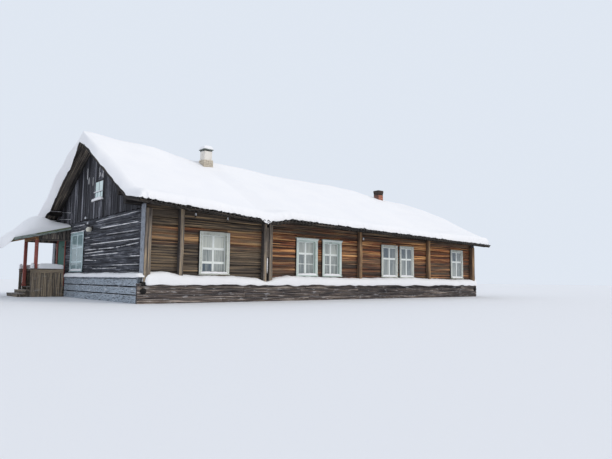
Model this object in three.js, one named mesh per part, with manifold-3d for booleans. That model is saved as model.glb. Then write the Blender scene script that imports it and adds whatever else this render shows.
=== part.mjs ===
// Long single-storey log house under a snow-covered gable roof, with a small porch on its gable.
// Millimetres, +Z up. X runs along the long front wall, Y from the front wall to the back wall.
// All places are first given from the outer front corner at ground level; the last lines move
// the finished group so that its origin is the middle of its footprint.
import * as THREE from 'three';
import { mergeVertices } from 'three/addons/utils/BufferGeometryUtils.js';
import Module from 'manifold-3d';

const wasm = await Module();
wasm.setup();

// Driving dimensions of the house
const LENGTH = 18400;
const WIDTH = 9400;
const WALL = 220;
const COURSE = 252;
const SIDE_COURSES = 11;
const GABLE_COURSES = 12;
const SIDE_TOP = SIDE_COURSES * COURSE;
const GABLE_TOP = GABLE_COURSES * COURSE;
const FLOOR_TOP = 400;
const FLOOR_THICK = 160;
const DECK_THICK = 150;
const GAP = 0.3;
const MID = WIDTH / 2;

// Roof: the old frame has settled, so ridge and eaves drop a little along the house
const EAVE = 1000;
const VERGE = 580;
const FAR_VERGE = 250;
const COVER = 80;
const KICK_RISE = 160;
const SHEATHING = 60;
const SHEATHING_OUT = 20;
const ROOF_LINES = [
  { x: -VERGE, eave: 3170, ridge: 6050 },
  { x: 2400, eave: 2985, ridge: 5900 },
  { x: 4500, eave: 2850, ridge: 5640 },
  { x: 5200, eave: 2980, ridge: 5690 },
  { x: 14300, eave: 2790, ridge: 5550 },
  { x: 16600, eave: 2755, ridge: 5280 },
  { x: LENGTH + FAR_VERGE, eave: 2720, ridge: 5170 },
];
const SNOW = 300;

// Windows: outer size of the casing, with the sill and head of the ground floor ones
const SILL = 950;
const HEAD = 2400;
const FRONT_WINDOWS = [
  [1975, 3160], [6210, 7310], [7580, 8650], [11160, 12270], [12420, 13450], [16480, 17560],
];
const BACK_WINDOWS = [FRONT_WINDOWS[0], FRONT_WINDOWS[2], FRONT_WINDOWS[4]];
const FAR_WINDOW = { from: 4100, to: 5300, low: 1030, high: 2480 };
const GABLE_WINDOW = { from: 5560, to: 7110, low: 1030, high: 2600 };
const ATTIC_WINDOW = { from: 3620, to: 4470, low: 3680, high: 4420 };
const CASING = 115;
const CASING_THICK = 45;
const LINING = 45;
const LINING_DEEP = 140;
const SASH = 24;
const SASH_IN = 20;

// Door in the gable wall
const DOOR = { from: 7980, to: 8920, low: 440, high: 2360, thick: 50 };
const DOOR_CLEAR = 6;
const JAMB = 50;
const STOP = 18;
const LEAF_OUTER = 10;
const KNUCKLE = 11;
const KNUCKLE_LONG = 60;

// Base ledge round the walls
const LEDGE = 200;
const LEDGE_BOARD = 40;
const BASE_OUT = 170;
const FRONT_LEDGE_TOP = 620;
const GABLE_LEDGE_TOP = 820;
const FRONT_LEDGE_SNOW = 300;
const GABLE_LEDGE_SNOW = 170;

// Wall posts
const POST_DEEP = 180;
const WALL_POSTS = [[[1170, 1320]], [[4540, 4690], [4790, 4950]], [[9620, 9800]], [[14450, 14620]]];
const BOLT = 20;
const BOLT_HEIGHTS = [1100, 2500];

// Porch on the gable wall, towards the back corner
const PORCH = { near: 7200, far: 9250, top: 2880, slope: 0.265, out: 2090, slab: 50 };
const PORCH_POST = 125;
const PORCH_POST_X = -1315;
const PORCH_RAFTER = 100;
const PORCH_HEADER = 95;
const PORCH_BOARD = 30;
const PORCH_FASCIA = 130;
const PARAPET_TOP = 1130;
const PARAPET_END = -1440;
const STEP = 280;
const STEP_COUNT = 2;

const group = new THREE.Group();

// Finishes
const finish = (color, roughness, metalness = 0) => ({ color, roughness, metalness });
const BARE_LOG = finish(0x6b4630, 0.85);
const GREY_LOG = finish(0x45454a, 0.9);
const GREY_BOARD = finish(0x3a3a3d, 0.9);
const DECK_BOARD = finish(0x6a5a48, 0.85);
const ROOF_SHEET = finish(0x4a4540, 0.85);
const SNOW_WHITE = finish(0xf2f0f8, 0.6);
const PLASTER = finish(0xe1d7c8, 0.85);
const BRICK = finish(0xa05c45, 0.9);
const METAL = finish(0x6f7a70, 0.5, 0.6);
const PALE_PAINT = finish(0xbec8c3, 0.6);
const BLUE_PAINT = finish(0x96afaf, 0.6);
const RED_PAINT = finish(0x823c32, 0.7);
const GREEN_PAINT = finish(0x3c6958, 0.6);
const FASCIA_PAINT = finish(0x5a734b, 0.7);
const CORNER_PAINT = finish(0x7d8796, 0.8);
const LAMP_SHELL = finish(0xcfc8b4, 0.5);

function addPiece(name, geometry, look) {
  const mesh = new THREE.Mesh(geometry, new THREE.MeshStandardMaterial(look));
  mesh.name = name;
  group.add(mesh);
}

// Joining and cutting
function toSolid(geometry) {
  const bare = geometry.clone();
  bare.deleteAttribute('normal');
  bare.deleteAttribute('uv');
  const merged = mergeVertices(bare, 1e-3);
  return new wasm.Manifold(new wasm.Mesh({
    numProp: 3,
    vertProperties: new Float32Array(merged.attributes.position.array),
    triVerts: new Uint32Array(merged.index.array),
  }));
}

function toGeometry(solid) {
  const mesh = solid.getMesh();
  const geometry = new THREE.BufferGeometry();
  geometry.setAttribute('position', new THREE.BufferAttribute(new Float32Array(mesh.vertProperties), 3));
  geometry.setIndex(new THREE.BufferAttribute(new Uint32Array(mesh.triVerts), 1));
  return geometry;
}

const join = (...parts) => toGeometry(parts.map(toSolid).reduce((sum, part) => sum.add(part)));
const cut = (body, ...holes) => toGeometry(
  holes.map(toSolid).reduce((rest, hole) => rest.subtract(hole), toSolid(body)));

// Plain shapes, given by their low and high corners or by an outline
function box(x0, x1, y0, y1, z0, z1) {
  const geometry = new THREE.BoxGeometry(x1 - x0, y1 - y0, z1 - z0);
  return geometry.translate((x0 + x1) / 2, (y0 + y1) / 2, (z0 + z1) / 2);
}

function extrude(outline, depth, holes = []) {
  const shape = new THREE.Shape(outline.map(([a, b]) => new THREE.Vector2(a, b)));
  for (const hole of holes) {
    shape.holes.push(new THREE.Path(hole.map(([a, b]) => new THREE.Vector2(a, b))));
  }
  return new THREE.ExtrudeGeometry(shape, { depth, bevelEnabled: false });
}

// Outline in (y, z), running from x0 to x1
function alongX(outline, x0, x1) {
  const axes = new THREE.Matrix4().makeBasis(
    new THREE.Vector3(0, 1, 0), new THREE.Vector3(0, 0, 1), new THREE.Vector3(1, 0, 0));
  return extrude(outline, x1 - x0).applyMatrix4(axes).translate(x0, 0, 0);
}

// Outline in (x, z), running from y0 to y1
function alongY(outline, y0, y1, holes = []) {
  const axes = new THREE.Matrix4().makeBasis(
    new THREE.Vector3(1, 0, 0), new THREE.Vector3(0, 0, 1), new THREE.Vector3(0, -1, 0));
  return extrude(outline, y1 - y0, holes).applyMatrix4(axes).translate(0, y1, 0);
}

function cylinderZ(x, y, radius, z0, z1, sides = 12) {
  const geometry = new THREE.CylinderGeometry(radius, radius, z1 - z0, sides);
  return geometry.rotateX(Math.PI / 2).translate(x, y, (z0 + z1) / 2);
}

// Copy placed by a matrix that mirrors it, with its faces turned to point out again
function reflected(geometry, matrix) {
  const copy = geometry.clone().applyMatrix4(matrix);
  const count = copy.attributes.position.count;
  const index = copy.index ? Array.from(copy.index.array) : [...Array(count).keys()];
  for (let i = 0; i < index.length; i += 3) {
    [index[i], index[i + 1]] = [index[i + 1], index[i]];
  }
  copy.setIndex(index);
  return copy;
}

// The back of the house mirrors the front about the middle of the width
const MIRROR = new THREE.Matrix4().makeScale(1, -1, 1).setPosition(0, WIDTH, 0);
const mirrored = (geometry) => reflected(geometry, MIRROR);

// A wall piece drawn along X is turned to stand in the gable, looking towards -X
const TURN = new THREE.Matrix4().makeBasis(
  new THREE.Vector3(0, 1, 0), new THREE.Vector3(1, 0, 0), new THREE.Vector3(0, 0, 1));
const turned = (geometry) => reflected(geometry, TURN);

// The far gable is the near one turned about the middle of the house
const farEnd = (geometry) => geometry.clone().rotateZ(Math.PI).translate(LENGTH, WIDTH, 0);

// Closed solid through cross-sections in (y, z), one for each x. Every quad is split from its low
// y corner at the lower x, so two surfaces over the same grid lie exactly parallel.
function loft(sections) {
  const positions = sections.flatMap(({ x, points }) => points.flatMap(([y, z]) => [x, y, z]));
  const count = sections[0].points.length;
  const index = [];
  for (let s = 0; s + 1 < sections.length; s += 1) {
    for (let k = 0; k < count; k += 1) {
      const next = (k + 1) % count;
      const [a, b] = [s * count + k, s * count + next];
      const [c, d] = [a + count, b + count];
      const rising = sections[s].points[next][0] > sections[s].points[k][0];
      index.push(...(rising ? [a, b, d, a, d, c] : [a, b, c, b, d, c]));
    }
  }
  const cap = (section, base, flip) => {
    const outline = section.points.map(([y, z]) => new THREE.Vector2(y, z));
    for (const [i, j, k] of THREE.ShapeUtils.triangulateShape(outline, [])) {
      index.push(...(flip ? [base + i, base + k, base + j] : [base + i, base + j, base + k]));
    }
  };
  cap(sections[0], 0, true);
  cap(sections.at(-1), (sections.length - 1) * count, false);
  const geometry = new THREE.BufferGeometry();
  geometry.setAttribute('position', new THREE.Float32BufferAttribute(positions, 3));
  geometry.setIndex(index);
  return geometry;
}

// Roof heights
const lerp = THREE.MathUtils.lerp;

function roofLine(x) {
  const last = ROOF_LINES.length - 2;
  const found = ROOF_LINES.findIndex((line, i) => i <= last && x <= ROOF_LINES[i + 1].x);
  const [a, b] = [ROOF_LINES[found], ROOF_LINES[found + 1]];
  const t = (x - a.x) / (b.x - a.x);
  return { eave: lerp(a.eave, b.eave, t), ridge: lerp(a.ridge, b.ridge, t) };
}

// Top of the covering over the front half, at distance y behind the face of the front wall
function coverTop(x, y) {
  const { eave, ridge } = roofLine(x);
  const atWall = eave + KICK_RISE;
  return y < 0 ? lerp(eave, atWall, (y + EAVE) / EAVE) : lerp(atWall, ridge, y / MID);
}

// The gable boards are flat on top, so the roof keeps one height across their thickness
const BOARD_FACES = [[-SHEATHING_OUT, SHEATHING - SHEATHING_OUT],
  [LENGTH - SHEATHING + SHEATHING_OUT, LENGTH + SHEATHING_OUT]];
const stations = [
  { x: -VERGE, at: -VERGE },
  ...BOARD_FACES[0].map((x) => ({ x, at: 0 })),
  ...ROOF_LINES.slice(1, -1).map(({ x }) => ({ x, at: x })),
  ...BOARD_FACES[1].map((x) => ({ x, at: LENGTH })),
  { x: LENGTH + FAR_VERGE, at: LENGTH + FAR_VERGE },
];
const ROOF_ROWS = [-EAVE, 0, WALL, MID - GAP];

function roofSlope() {
  return loft(stations.map(({ x, at }) => ({
    x,
    points: [
      ...ROOF_ROWS.map((y) => [y, coverTop(at, y) - COVER]),
      ...ROOF_ROWS.toReversed().map((y) => [y, coverTop(at, y)]),
    ],
  })));
}

// The snow thins towards the verges and the eave
const SNOW_EDGE = 0.45;
const SNOW_ROUND = 180;

function snowSlope() {
  return loft(stations.map(({ x, at }, i) => {
    const deep = i === 0 || i === stations.length - 1 ? SNOW * SNOW_EDGE : SNOW;
    return {
      x,
      points: [
        ...ROOF_ROWS.map((y) => [y, coverTop(at, y) + GAP]),
        [MID - GAP, coverTop(at, MID) + deep],
        [WALL, coverTop(at, WALL) + deep],
        [0, coverTop(at, 0) + deep],
        [-EAVE + SNOW_ROUND, coverTop(at, SNOW_ROUND - EAVE) + deep * 0.85],
        [-EAVE, coverTop(at, -EAVE) + deep * SNOW_EDGE],
      ],
    };
  }));
}

// Chimneys stand on the ceiling deck, just in front of the ridge
const NEAR_STACK = {
  x: 4490, y: 4200, side: 380, base: 450, baseTop: 5900, top: 6290, cap: 470, capThick: 90, snow: 190,
};
const FAR_STACK = { x: 15720, y: 4200, side: 370, neckTop: 5700, top: 5900, flare: 410 };
const square = (stack, side, z0, z1) => box(
  stack.x - side / 2, stack.x + side / 2, stack.y - side / 2, stack.y + side / 2, z0, z1);
const ROOF_HOLE = 6;
const ABOVE_ALL = 8000;
const stackHoles = [
  square(NEAR_STACK, NEAR_STACK.base + ROOF_HOLE, SIDE_TOP, ABOVE_ALL),
  square(FAR_STACK, FAR_STACK.side + ROOF_HOLE, SIDE_TOP, ABOVE_ALL),
];

const frontRoof = roofSlope();
const frontSnow = snowSlope();
addPiece('roof_front', cut(frontRoof, ...stackHoles), ROOF_SHEET);
addPiece('roof_back', mirrored(frontRoof), ROOF_SHEET);
addPiece('roof_snow_front', cut(frontSnow, ...stackHoles), SNOW_WHITE);
addPiece('roof_snow_back', mirrored(frontSnow), SNOW_WHITE);

const OVERLAP = 10;
addPiece('near_chimney_stack', join(
  square(NEAR_STACK, NEAR_STACK.base, SIDE_TOP + GAP, NEAR_STACK.baseTop),
  square(NEAR_STACK, NEAR_STACK.side, NEAR_STACK.baseTop - OVERLAP, NEAR_STACK.top)), PLASTER);
const nearCapTop = NEAR_STACK.top + NEAR_STACK.capThick;
addPiece('near_chimney_cap', square(NEAR_STACK, NEAR_STACK.cap, NEAR_STACK.top + GAP, nearCapTop), METAL);
addPiece('far_chimney_stack', join(
  square(FAR_STACK, FAR_STACK.side, SIDE_TOP + GAP, FAR_STACK.neckTop),
  square(FAR_STACK, FAR_STACK.flare, FAR_STACK.neckTop - OVERLAP, FAR_STACK.top)), BRICK);
addPiece('near_chimney_snow',
  square(NEAR_STACK, NEAR_STACK.cap - 60, nearCapTop + GAP, nearCapTop + NEAR_STACK.snow), SNOW_WHITE);

// Log walls: each course bulges outward from a groove, and the inner face is hewn flat
const GROOVE = 34;
const BULGE = [[0.1, 0.5], [0.25, 0.12], [0.5, 0], [0.75, 0.12], [0.9, 0.5]];

function logFace(courses) {
  const face = [[GROOVE, 0]];
  for (let course = 0; course < courses; course += 1) {
    face.push(...BULGE.map(([up, inward]) => [GROOVE * inward, (course + up) * COURSE]));
    face.push([GROOVE, (course + 1) * COURSE]);
  }
  return face;
}

// Outline across a wall whose outer face looks towards -Y or -X
const wallOutline = (courses) => [...logFace(courses).toReversed(), [WALL, 0], [WALL, courses * COURSE]];
const CUT = 400;
const lap = CASING - LINING;

function wallHole(from, to, low, high) {
  return box(from + lap, to - lap, -CUT, CUT + WALL, low + lap, high - lap);
}

// Long wall, with a top log hewn to meet the sloping roof
const PLATE_GAP = 2;
const topLog = loft(stations.filter(({ x }) => x > 0 && x < LENGTH).map(({ x, at }) => ({
  x,
  points: [
    [GROOVE, SIDE_TOP - 1],
    [WALL, SIDE_TOP - 1],
    ...[WALL, GROOVE].map((y) => [y, coverTop(at, y) - COVER - PLATE_GAP]),
  ],
})));

function sideWall(windows) {
  const holes = windows.map(([from, to]) => wallHole(from, to, SILL, HEAD));
  return cut(join(alongX(wallOutline(SIDE_COURSES), 0, LENGTH), topLog), ...holes);
}

addPiece('front_wall_logs', sideWall(FRONT_WINDOWS), BARE_LOG);
addPiece('back_wall_logs', mirrored(sideWall(BACK_WINDOWS)), BARE_LOG);

const doorHole = {
  from: DOOR.from - DOOR_CLEAR - JAMB,
  to: DOOR.to + DOOR_CLEAR + JAMB,
  high: DOOR.high + DOOR_CLEAR + JAMB,
};
const inner = [WALL + GAP, WIDTH - WALL - GAP];
const gableOutline = wallOutline(GABLE_COURSES);
const { from: gFrom, to: gTo, low: gLow, high: gHigh } = GABLE_WINDOW;
const overDoor = box(-CUT, LENGTH, -CUT, CUT, doorHole.high + GAP, GABLE_TOP + CUT);
addPiece('gable_wall_logs', turned(cut(
  alongX(gableOutline, inner[0], doorHole.from - GAP), wallHole(gFrom, gTo, gLow, gHigh))), GREY_LOG);
addPiece('gable_wall_over_door', turned(toGeometry(
  toSolid(alongX(gableOutline, doorHole.from, doorHole.to)).intersect(toSolid(overDoor)))), GREY_LOG);
addPiece('gable_wall_beside_door', turned(alongX(gableOutline, doorHole.to + GAP, inner[1])), GREY_LOG);
addPiece('far_gable_wall_logs', farEnd(turned(cut(
  alongX(wallOutline(SIDE_COURSES), ...inner),
  wallHole(FAR_WINDOW.from, FAR_WINDOW.to, FAR_WINDOW.low, FAR_WINDOW.high)))), GREY_LOG);

// Upright boards that close the gables above the logs
function gableBoards([x0, x1], at, base, hole) {
  const under = (y) => coverTop(at, y) - COVER - GAP;
  const outline = [[0, base], [WIDTH, base], [WIDTH, under(0)], [MID, under(MID)], [0, under(0)]];
  const boards = alongX(outline, x0, x1);
  return hole ? cut(boards, hole) : boards;
}

const { from: aFrom, to: aTo, low: aLow, high: aHigh } = ATTIC_WINDOW;
const atticHole = box(-CUT, CUT, aFrom + lap, aTo - lap, aLow + lap, aHigh - lap);
addPiece('gable_boards', gableBoards(BOARD_FACES[0], 0, GABLE_TOP + GAP, atticHole), GREY_BOARD);
addPiece('far_gable_boards', gableBoards(BOARD_FACES[1], LENGTH, SIDE_TOP + GAP), GREY_BOARD);

// Floor and ceiling deck
const room = [WALL + GAP, LENGTH - WALL - GAP, WALL + GAP, WIDTH - WALL - GAP];
addPiece('floor', box(...room, FLOOR_TOP - FLOOR_THICK, FLOOR_TOP), DECK_BOARD);
addPiece('ceiling_deck', box(...room, SIDE_TOP - DECK_THICK, SIDE_TOP), DECK_BOARD);

// Windows: a casing on the wall face, a lining in the hole and the glazed sash in it
function ring(from, to, low, high, wide, y0, y1) {
  const outer = [[from, low], [to, low], [to, high], [from, high]];
  const [left, right, bottom, top] = [from + wide, to - wide, low + wide, high - wide];
  const hole = [[left, bottom], [left, top], [right, top], [right, bottom]];
  return alongY(outer, y0, y1, [hole]);
}

function windowUnit(from, to, low, high, deep = LINING_DEEP) {
  const inset = lap + GAP;
  return join(
    ring(from, to, low, high, CASING, -CASING_THICK, -GAP),
    ring(from + inset, to - inset, low + inset, high - inset, LINING - GAP, -1, deep),
    box(from + CASING - 2, to - CASING + 2, SASH_IN, SASH_IN + SASH, low + CASING - 2, high - CASING + 2));
}

FRONT_WINDOWS.forEach(([from, to], i) => addPiece(
  `front_window_${i + 1}`, windowUnit(from, to, SILL, HEAD), PALE_PAINT));
BACK_WINDOWS.forEach(([from, to], i) => addPiece(
  `back_window_${i + 1}`, mirrored(windowUnit(from, to, SILL, HEAD)), PALE_PAINT));
addPiece('gable_window', turned(windowUnit(gFrom, gTo, gLow, gHigh)), BLUE_PAINT);
addPiece('far_gable_window', farEnd(turned(
  windowUnit(FAR_WINDOW.from, FAR_WINDOW.to, FAR_WINDOW.low, FAR_WINDOW.high))), BLUE_PAINT);
const ATTIC_DEEP = 80;
const atticUnit = turned(windowUnit(aFrom, aTo, aLow, aHigh, ATTIC_DEEP));
addPiece('attic_window', atticUnit.translate(-SHEATHING_OUT, 0, 0), BLUE_PAINT);

// Door, nearly flush with the gable, hung on two hinges at its edge towards the front, opening
// onto the porch
const axisX = -KNUCKLE - 1;
const leafInner = LEAF_OUTER + DOOR.thick;
const axisY = DOOR.from - DOOR_CLEAR / 2;
const SILL_DROP = 60;
const doorFrameRing = (wide, x0, x1) => turned(ring(
  doorHole.from + GAP, doorHole.to - GAP, FLOOR_TOP - SILL_DROP, doorHole.high - GAP, wide, x0, x1));
const HINGE_HEIGHTS = [800, 2000];
const frameKnuckle = (z) => join(
  cylinderZ(axisX, axisY, KNUCKLE, z, z + KNUCKLE_LONG),
  box(axisX, 5, DOOR.from - JAMB + 10, axisY, z, z + KNUCKLE_LONG));
const leafKnuckle = (z) => join(
  cylinderZ(axisX, axisY, KNUCKLE, z, z + KNUCKLE_LONG),
  box(axisX, LEAF_OUTER + 5, axisY, DOOR.from + 40, z, z + KNUCKLE_LONG));
const doorFrame = join(
  doorFrameRing(JAMB - GAP, 0, WALL),
  doorFrameRing(JAMB + DOOR_CLEAR + STOP, leafInner + DOOR_CLEAR, WALL),
  ...HINGE_HEIGHTS.map(frameKnuckle));
addPiece('door_frame', doorFrame, RED_PAINT);
const HANDLE = { high: 1350, tall: 180, out: 45, bar: 18 };
const handleY = DOOR.to - 90;
const handleBar = (x1, z0, z1) => box(
  LEAF_OUTER - HANDLE.out, x1, handleY, handleY + HANDLE.bar, z0, z1);
const handle = join(
  handleBar(LEAF_OUTER - HANDLE.out + HANDLE.bar, HANDLE.high, HANDLE.high + HANDLE.tall),
  ...[HANDLE.high, HANDLE.high + HANDLE.tall - HANDLE.bar].map((z) => handleBar(
    LEAF_OUTER + 5, z, z + HANDLE.bar)));
addPiece('door_leaf', join(
  box(LEAF_OUTER, leafInner, DOOR.from, DOOR.to, DOOR.low, DOOR.high),
  handle,
  ...HINGE_HEIGHTS.map((z) => leafKnuckle(z + KNUCKLE_LONG + GAP))), GREEN_PAINT);

// Boarded base with a ledge round the house
function ledgeRun(x0, x1, top) {
  return join(
    box(x0, x1, -BASE_OUT, -GAP, 0, top - LEDGE_BOARD + 1),
    box(x0, x1, -LEDGE, -GAP, top - LEDGE_BOARD, top));
}

const GABLE_LEDGE_END = PORCH.near + 20;
const frontLedge = ledgeRun(-LEDGE, LENGTH + LEDGE, FRONT_LEDGE_TOP);
const gableLedge = ledgeRun(GAP, GABLE_LEDGE_END, GABLE_LEDGE_TOP);
const farGableLedge = ledgeRun(GAP, WIDTH - GAP, GABLE_LEDGE_TOP);
addPiece('front_base_boards', frontLedge, CORNER_PAINT);
addPiece('back_base_boards', mirrored(frontLedge), CORNER_PAINT);
addPiece('gable_base_boards', turned(gableLedge), CORNER_PAINT);
addPiece('far_gable_base_boards', farEnd(turned(farGableLedge)), CORNER_PAINT);

// Snow on the ledge, one run round the house from the porch to the back corner, notched for the posts
const SNOW_BEVEL = 60;
const SNOW_LAP = 50;
function ledgeSnow(x0, x1, top, deep) {
  const outline = [
    [-LEDGE, top + GAP], [-GAP, top + GAP], [-GAP, top + deep],
    [-LEDGE + SNOW_BEVEL, top + deep], [-LEDGE, top + deep - SNOW_BEVEL],
  ];
  return alongX(outline, x0, x1);
}

const postSlots = WALL_POSTS.flat().map(([x0, x1]) => box(
  x0 - GAP, x1 + GAP, -POST_DEEP - GAP, CUT, 0, HEAD));
const frontRun = ledgeSnow(-LEDGE, LENGTH + LEDGE, FRONT_LEDGE_TOP, FRONT_LEDGE_SNOW);
const gableRun = ledgeSnow(-SNOW_LAP, GABLE_LEDGE_END, GABLE_LEDGE_TOP, GABLE_LEDGE_SNOW);
const farGableRun = ledgeSnow(-SNOW_LAP, WIDTH + SNOW_LAP, GABLE_LEDGE_TOP, GABLE_LEDGE_SNOW);
addPiece('ledge_snow', cut(
  join(frontRun, turned(gableRun), farEnd(turned(farGableRun)), mirrored(frontRun)), ...postSlots,
), SNOW_WHITE);

// Upright posts that hold the long wall straight; a double post is bolted together
function wallPost(pair) {
  const [x0, x1] = [pair[0][0], pair.at(-1)[1]];
  const under = Math.min(coverTop(x0, -POST_DEEP), coverTop(x1, -POST_DEEP)) - COVER - GAP;
  const posts = pair.map(([from, to]) => box(from, to, -POST_DEEP, -GAP, FRONT_LEDGE_TOP + GAP, under));
  const bolts = pair.length < 2 ? [] : BOLT_HEIGHTS.map((z) => box(
    pair[0][1] - 1, x1 - 1, -POST_DEEP / 2, -POST_DEEP / 2 + BOLT, z, z + BOLT));
  return join(...posts, ...bolts);
}

WALL_POSTS.forEach((pair, i) => addPiece(`front_wall_post_${i + 1}`, wallPost(pair), DECK_BOARD));

// Porch: floor and steps, side boards, posts, rafters, roof and its snow
const porchTop = (x) => PORCH.top + PORCH.slope * x;
const porchFar = PORCH.far - 120;
const porchNear = PORCH.near + 100;
const bearers = [porchNear + 40, (porchNear + porchFar) / 2, porchFar - 140];
const stepOutline = [[PORCH_POST_X - GAP, 0]];
for (let i = 0; i < STEP_COUNT; i += 1) {
  const high = FLOOR_TOP * (1 - (i + 1) / (STEP_COUNT + 1));
  stepOutline.push([PORCH_POST_X - GAP - i * STEP, high], [PORCH_POST_X - GAP - (i + 1) * STEP, high]);
}
stepOutline.push([PORCH_POST_X - GAP - STEP_COUNT * STEP, 0]);
addPiece('porch_floor', join(
  box(PORCH_POST_X, -GAP, porchNear, porchFar, FLOOR_TOP - 60, FLOOR_TOP),
  ...bearers.map((y) => box(PORCH_POST_X, -GAP, y, y + 100, 0, FLOOR_TOP - 50))), DECK_BOARD);
addPiece('porch_steps', alongY(stepOutline, porchNear, porchFar), DECK_BOARD);

const RAIL_OUT = 40;
const sideBoards = (y) => join(
  box(PARAPET_END, -LEDGE - GAP, y, y + PORCH_BOARD, 0, PARAPET_TOP - 30),
  box(PARAPET_END, -LEDGE - GAP, y - RAIL_OUT, y + PORCH_BOARD + RAIL_OUT, PARAPET_TOP - 40, PARAPET_TOP));
const nearBoardY = porchNear - PORCH_BOARD - GAP;
const farBoardY = porchFar + GAP;
const postSlot = (y) => box(
  PORCH_POST_X - GAP, PORCH_POST_X + PORCH_POST + GAP, y, y + CUT, FLOOR_TOP, ABOVE_ALL);
const nearSlot = postSlot(porchNear - 1);
const farSlot = postSlot(porchFar + GAP - CUT + 1);
addPiece('porch_near_side_boards', cut(sideBoards(nearBoardY), nearSlot), DECK_BOARD);
addPiece('porch_far_side_boards', cut(sideBoards(farBoardY), farSlot), DECK_BOARD);

const headerTop = porchTop(PORCH_POST_X) - PORCH.slab - PORCH_RAFTER;
const postHigh = headerTop - PORCH_HEADER;
const porchPost = (y) => box(
  PORCH_POST_X, PORCH_POST_X + PORCH_POST, y, y + PORCH_POST, FLOOR_TOP + GAP, postHigh);
addPiece('porch_near_post', porchPost(porchNear), RED_PAINT);
addPiece('porch_far_post', porchPost(porchFar - PORCH_POST), RED_PAINT);

const slopeStrip = (x0, x1, up, down) => [
  [x0, porchTop(x0) - down], [x1, porchTop(x1) - down], [x1, porchTop(x1) - up], [x0, porchTop(x0) - up],
];
const RAFTER_WIDE = 90;
const rafterStrip = slopeStrip(-PORCH.out + 40, -GAP, PORCH.slab + GAP, PORCH.slab + PORCH_RAFTER);
const rafters = [porchNear, (porchNear + porchFar - RAFTER_WIDE) / 2, porchFar - RAFTER_WIDE]
  .map((y) => alongY(rafterStrip, y, y + RAFTER_WIDE));
addPiece('porch_roof_frame', join(
  box(PORCH_POST_X, PORCH_POST_X + PORCH_POST, porchNear, porchFar, postHigh + GAP, headerTop + 15),
  ...rafters), RED_PAINT);
const roofStrip = slopeStrip(-PORCH.out, -GAP, 0, PORCH.slab);
addPiece('porch_roof', alongY(roofStrip, PORCH.near, PORCH.far), ROOF_SHEET);

const FASCIA_BOARD = 25;
const FASCIA_UP = 10;
const fasciaStrip = slopeStrip(-PORCH.out - 20, -GAP, -FASCIA_UP, PORCH_FASCIA);
addPiece('porch_fascia', join(
  alongY(fasciaStrip, PORCH.near - FASCIA_BOARD, PORCH.near - GAP),
  alongY(fasciaStrip, PORCH.far + GAP, PORCH.far + FASCIA_BOARD),
  box(-PORCH.out - FASCIA_BOARD, -PORCH.out - GAP, PORCH.near - FASCIA_BOARD, PORCH.far + FASCIA_BOARD,
    porchTop(-PORCH.out) - PORCH_FASCIA, porchTop(-PORCH.out) + FASCIA_UP),
), FASCIA_PAINT);

const panelLow = postHigh - 10;
const panelFrom = PORCH_POST_X + PORCH_POST + GAP;
const panelOutline = [
  [panelFrom, panelLow],
  [-GAP, panelLow],
  ...[-GAP, panelFrom].map((x) => [x, porchTop(x) - PORCH.slab - GAP]),
];
const panel = (y) => alongY(panelOutline, y, y + PORCH_BOARD);
addPiece('porch_near_panel', panel(porchNear - PORCH_BOARD - GAP), DECK_BOARD);
addPiece('porch_far_panel', panel(porchFar + GAP), DECK_BOARD);

// The drift on the porch roof, highest about a metre out from the wall
const DRIFT = [
  [-PORCH.out, 150], [-1900, 380], [-1650, 550], [-1250, 710], [-950, 710], [-550, 430],
  [-SHEATHING_OUT - GAP, 180],
];
const driftRows = [[0, 0.35], [0.08, 0.7], [0.25, 1], [0.7, 1], [0.92, 0.7], [1, 0.35]];
const drift = loft(DRIFT.map(([x, deep]) => ({
  x,
  points: [
    [PORCH.near, porchTop(x) + GAP],
    [PORCH.far, porchTop(x) + GAP],
    ...driftRows.toReversed().map(([t, part]) => [
      lerp(PORCH.near, PORCH.far, t), porchTop(x) + deep * part,
    ]),
  ],
})));
addPiece('porch_roof_snow', drift, SNOW_WHITE);

const RAIL_SNOW = [GAP, 130, 210];
const railSnow = (y) => {
  const [bottom, shoulder, top] = RAIL_SNOW.map((up) => PARAPET_TOP + up);
  const [near, far] = [y - RAIL_OUT, y + PORCH_BOARD + RAIL_OUT];
  return alongX([
    [near, bottom], [far, bottom], [far, shoulder], [y + PORCH_BOARD, top], [y, top], [near, shoulder],
  ], PARAPET_END, -LEDGE - GAP);
};
addPiece('porch_near_rail_snow', cut(railSnow(nearBoardY), nearSlot), SNOW_WHITE);

// Yard lamp beside the gable window
const LAMP = { y: 4680, z: 2640, radius: 95, tall: 210, out: 130 };
const lampBody = new THREE.LatheGeometry([
  [0, -0.5], [0.55, -0.45], [0.95, -0.2], [1, 0.1], [0.8, 0.35], [0.4, 0.5], [0, 0.5],
].map(([r, h]) => new THREE.Vector2(r * LAMP.radius, h * LAMP.tall)), 16).rotateX(Math.PI / 2)
  .translate(-LAMP.out, LAMP.y, LAMP.z);
const LAMP_ARM = 30;
const LAMP_PLATE = { half: 40, thick: 15, low: LAMP.z - 40 };
const armLow = LAMP.z + LAMP.tall * 0.3;
addPiece('yard_lamp', join(
  lampBody,
  box(-LAMP.out, -GAP, LAMP.y - LAMP_ARM / 2, LAMP.y + LAMP_ARM / 2, armLow, armLow + LAMP_ARM),
  box(-LAMP_PLATE.thick, -GAP, LAMP.y - LAMP_PLATE.half, LAMP.y + LAMP_PLATE.half,
    LAMP_PLATE.low, armLow + LAMP_ARM),
), LAMP_SHELL);

// Origin in the middle of the footprint, at ground level
const bounds = new THREE.Box3().setFromObject(group, true);
const centre = bounds.getCenter(new THREE.Vector3());
group.position.set(-centre.x, -centre.y, -bounds.min.z);
group.updateMatrixWorld(true);

export default group;
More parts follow.
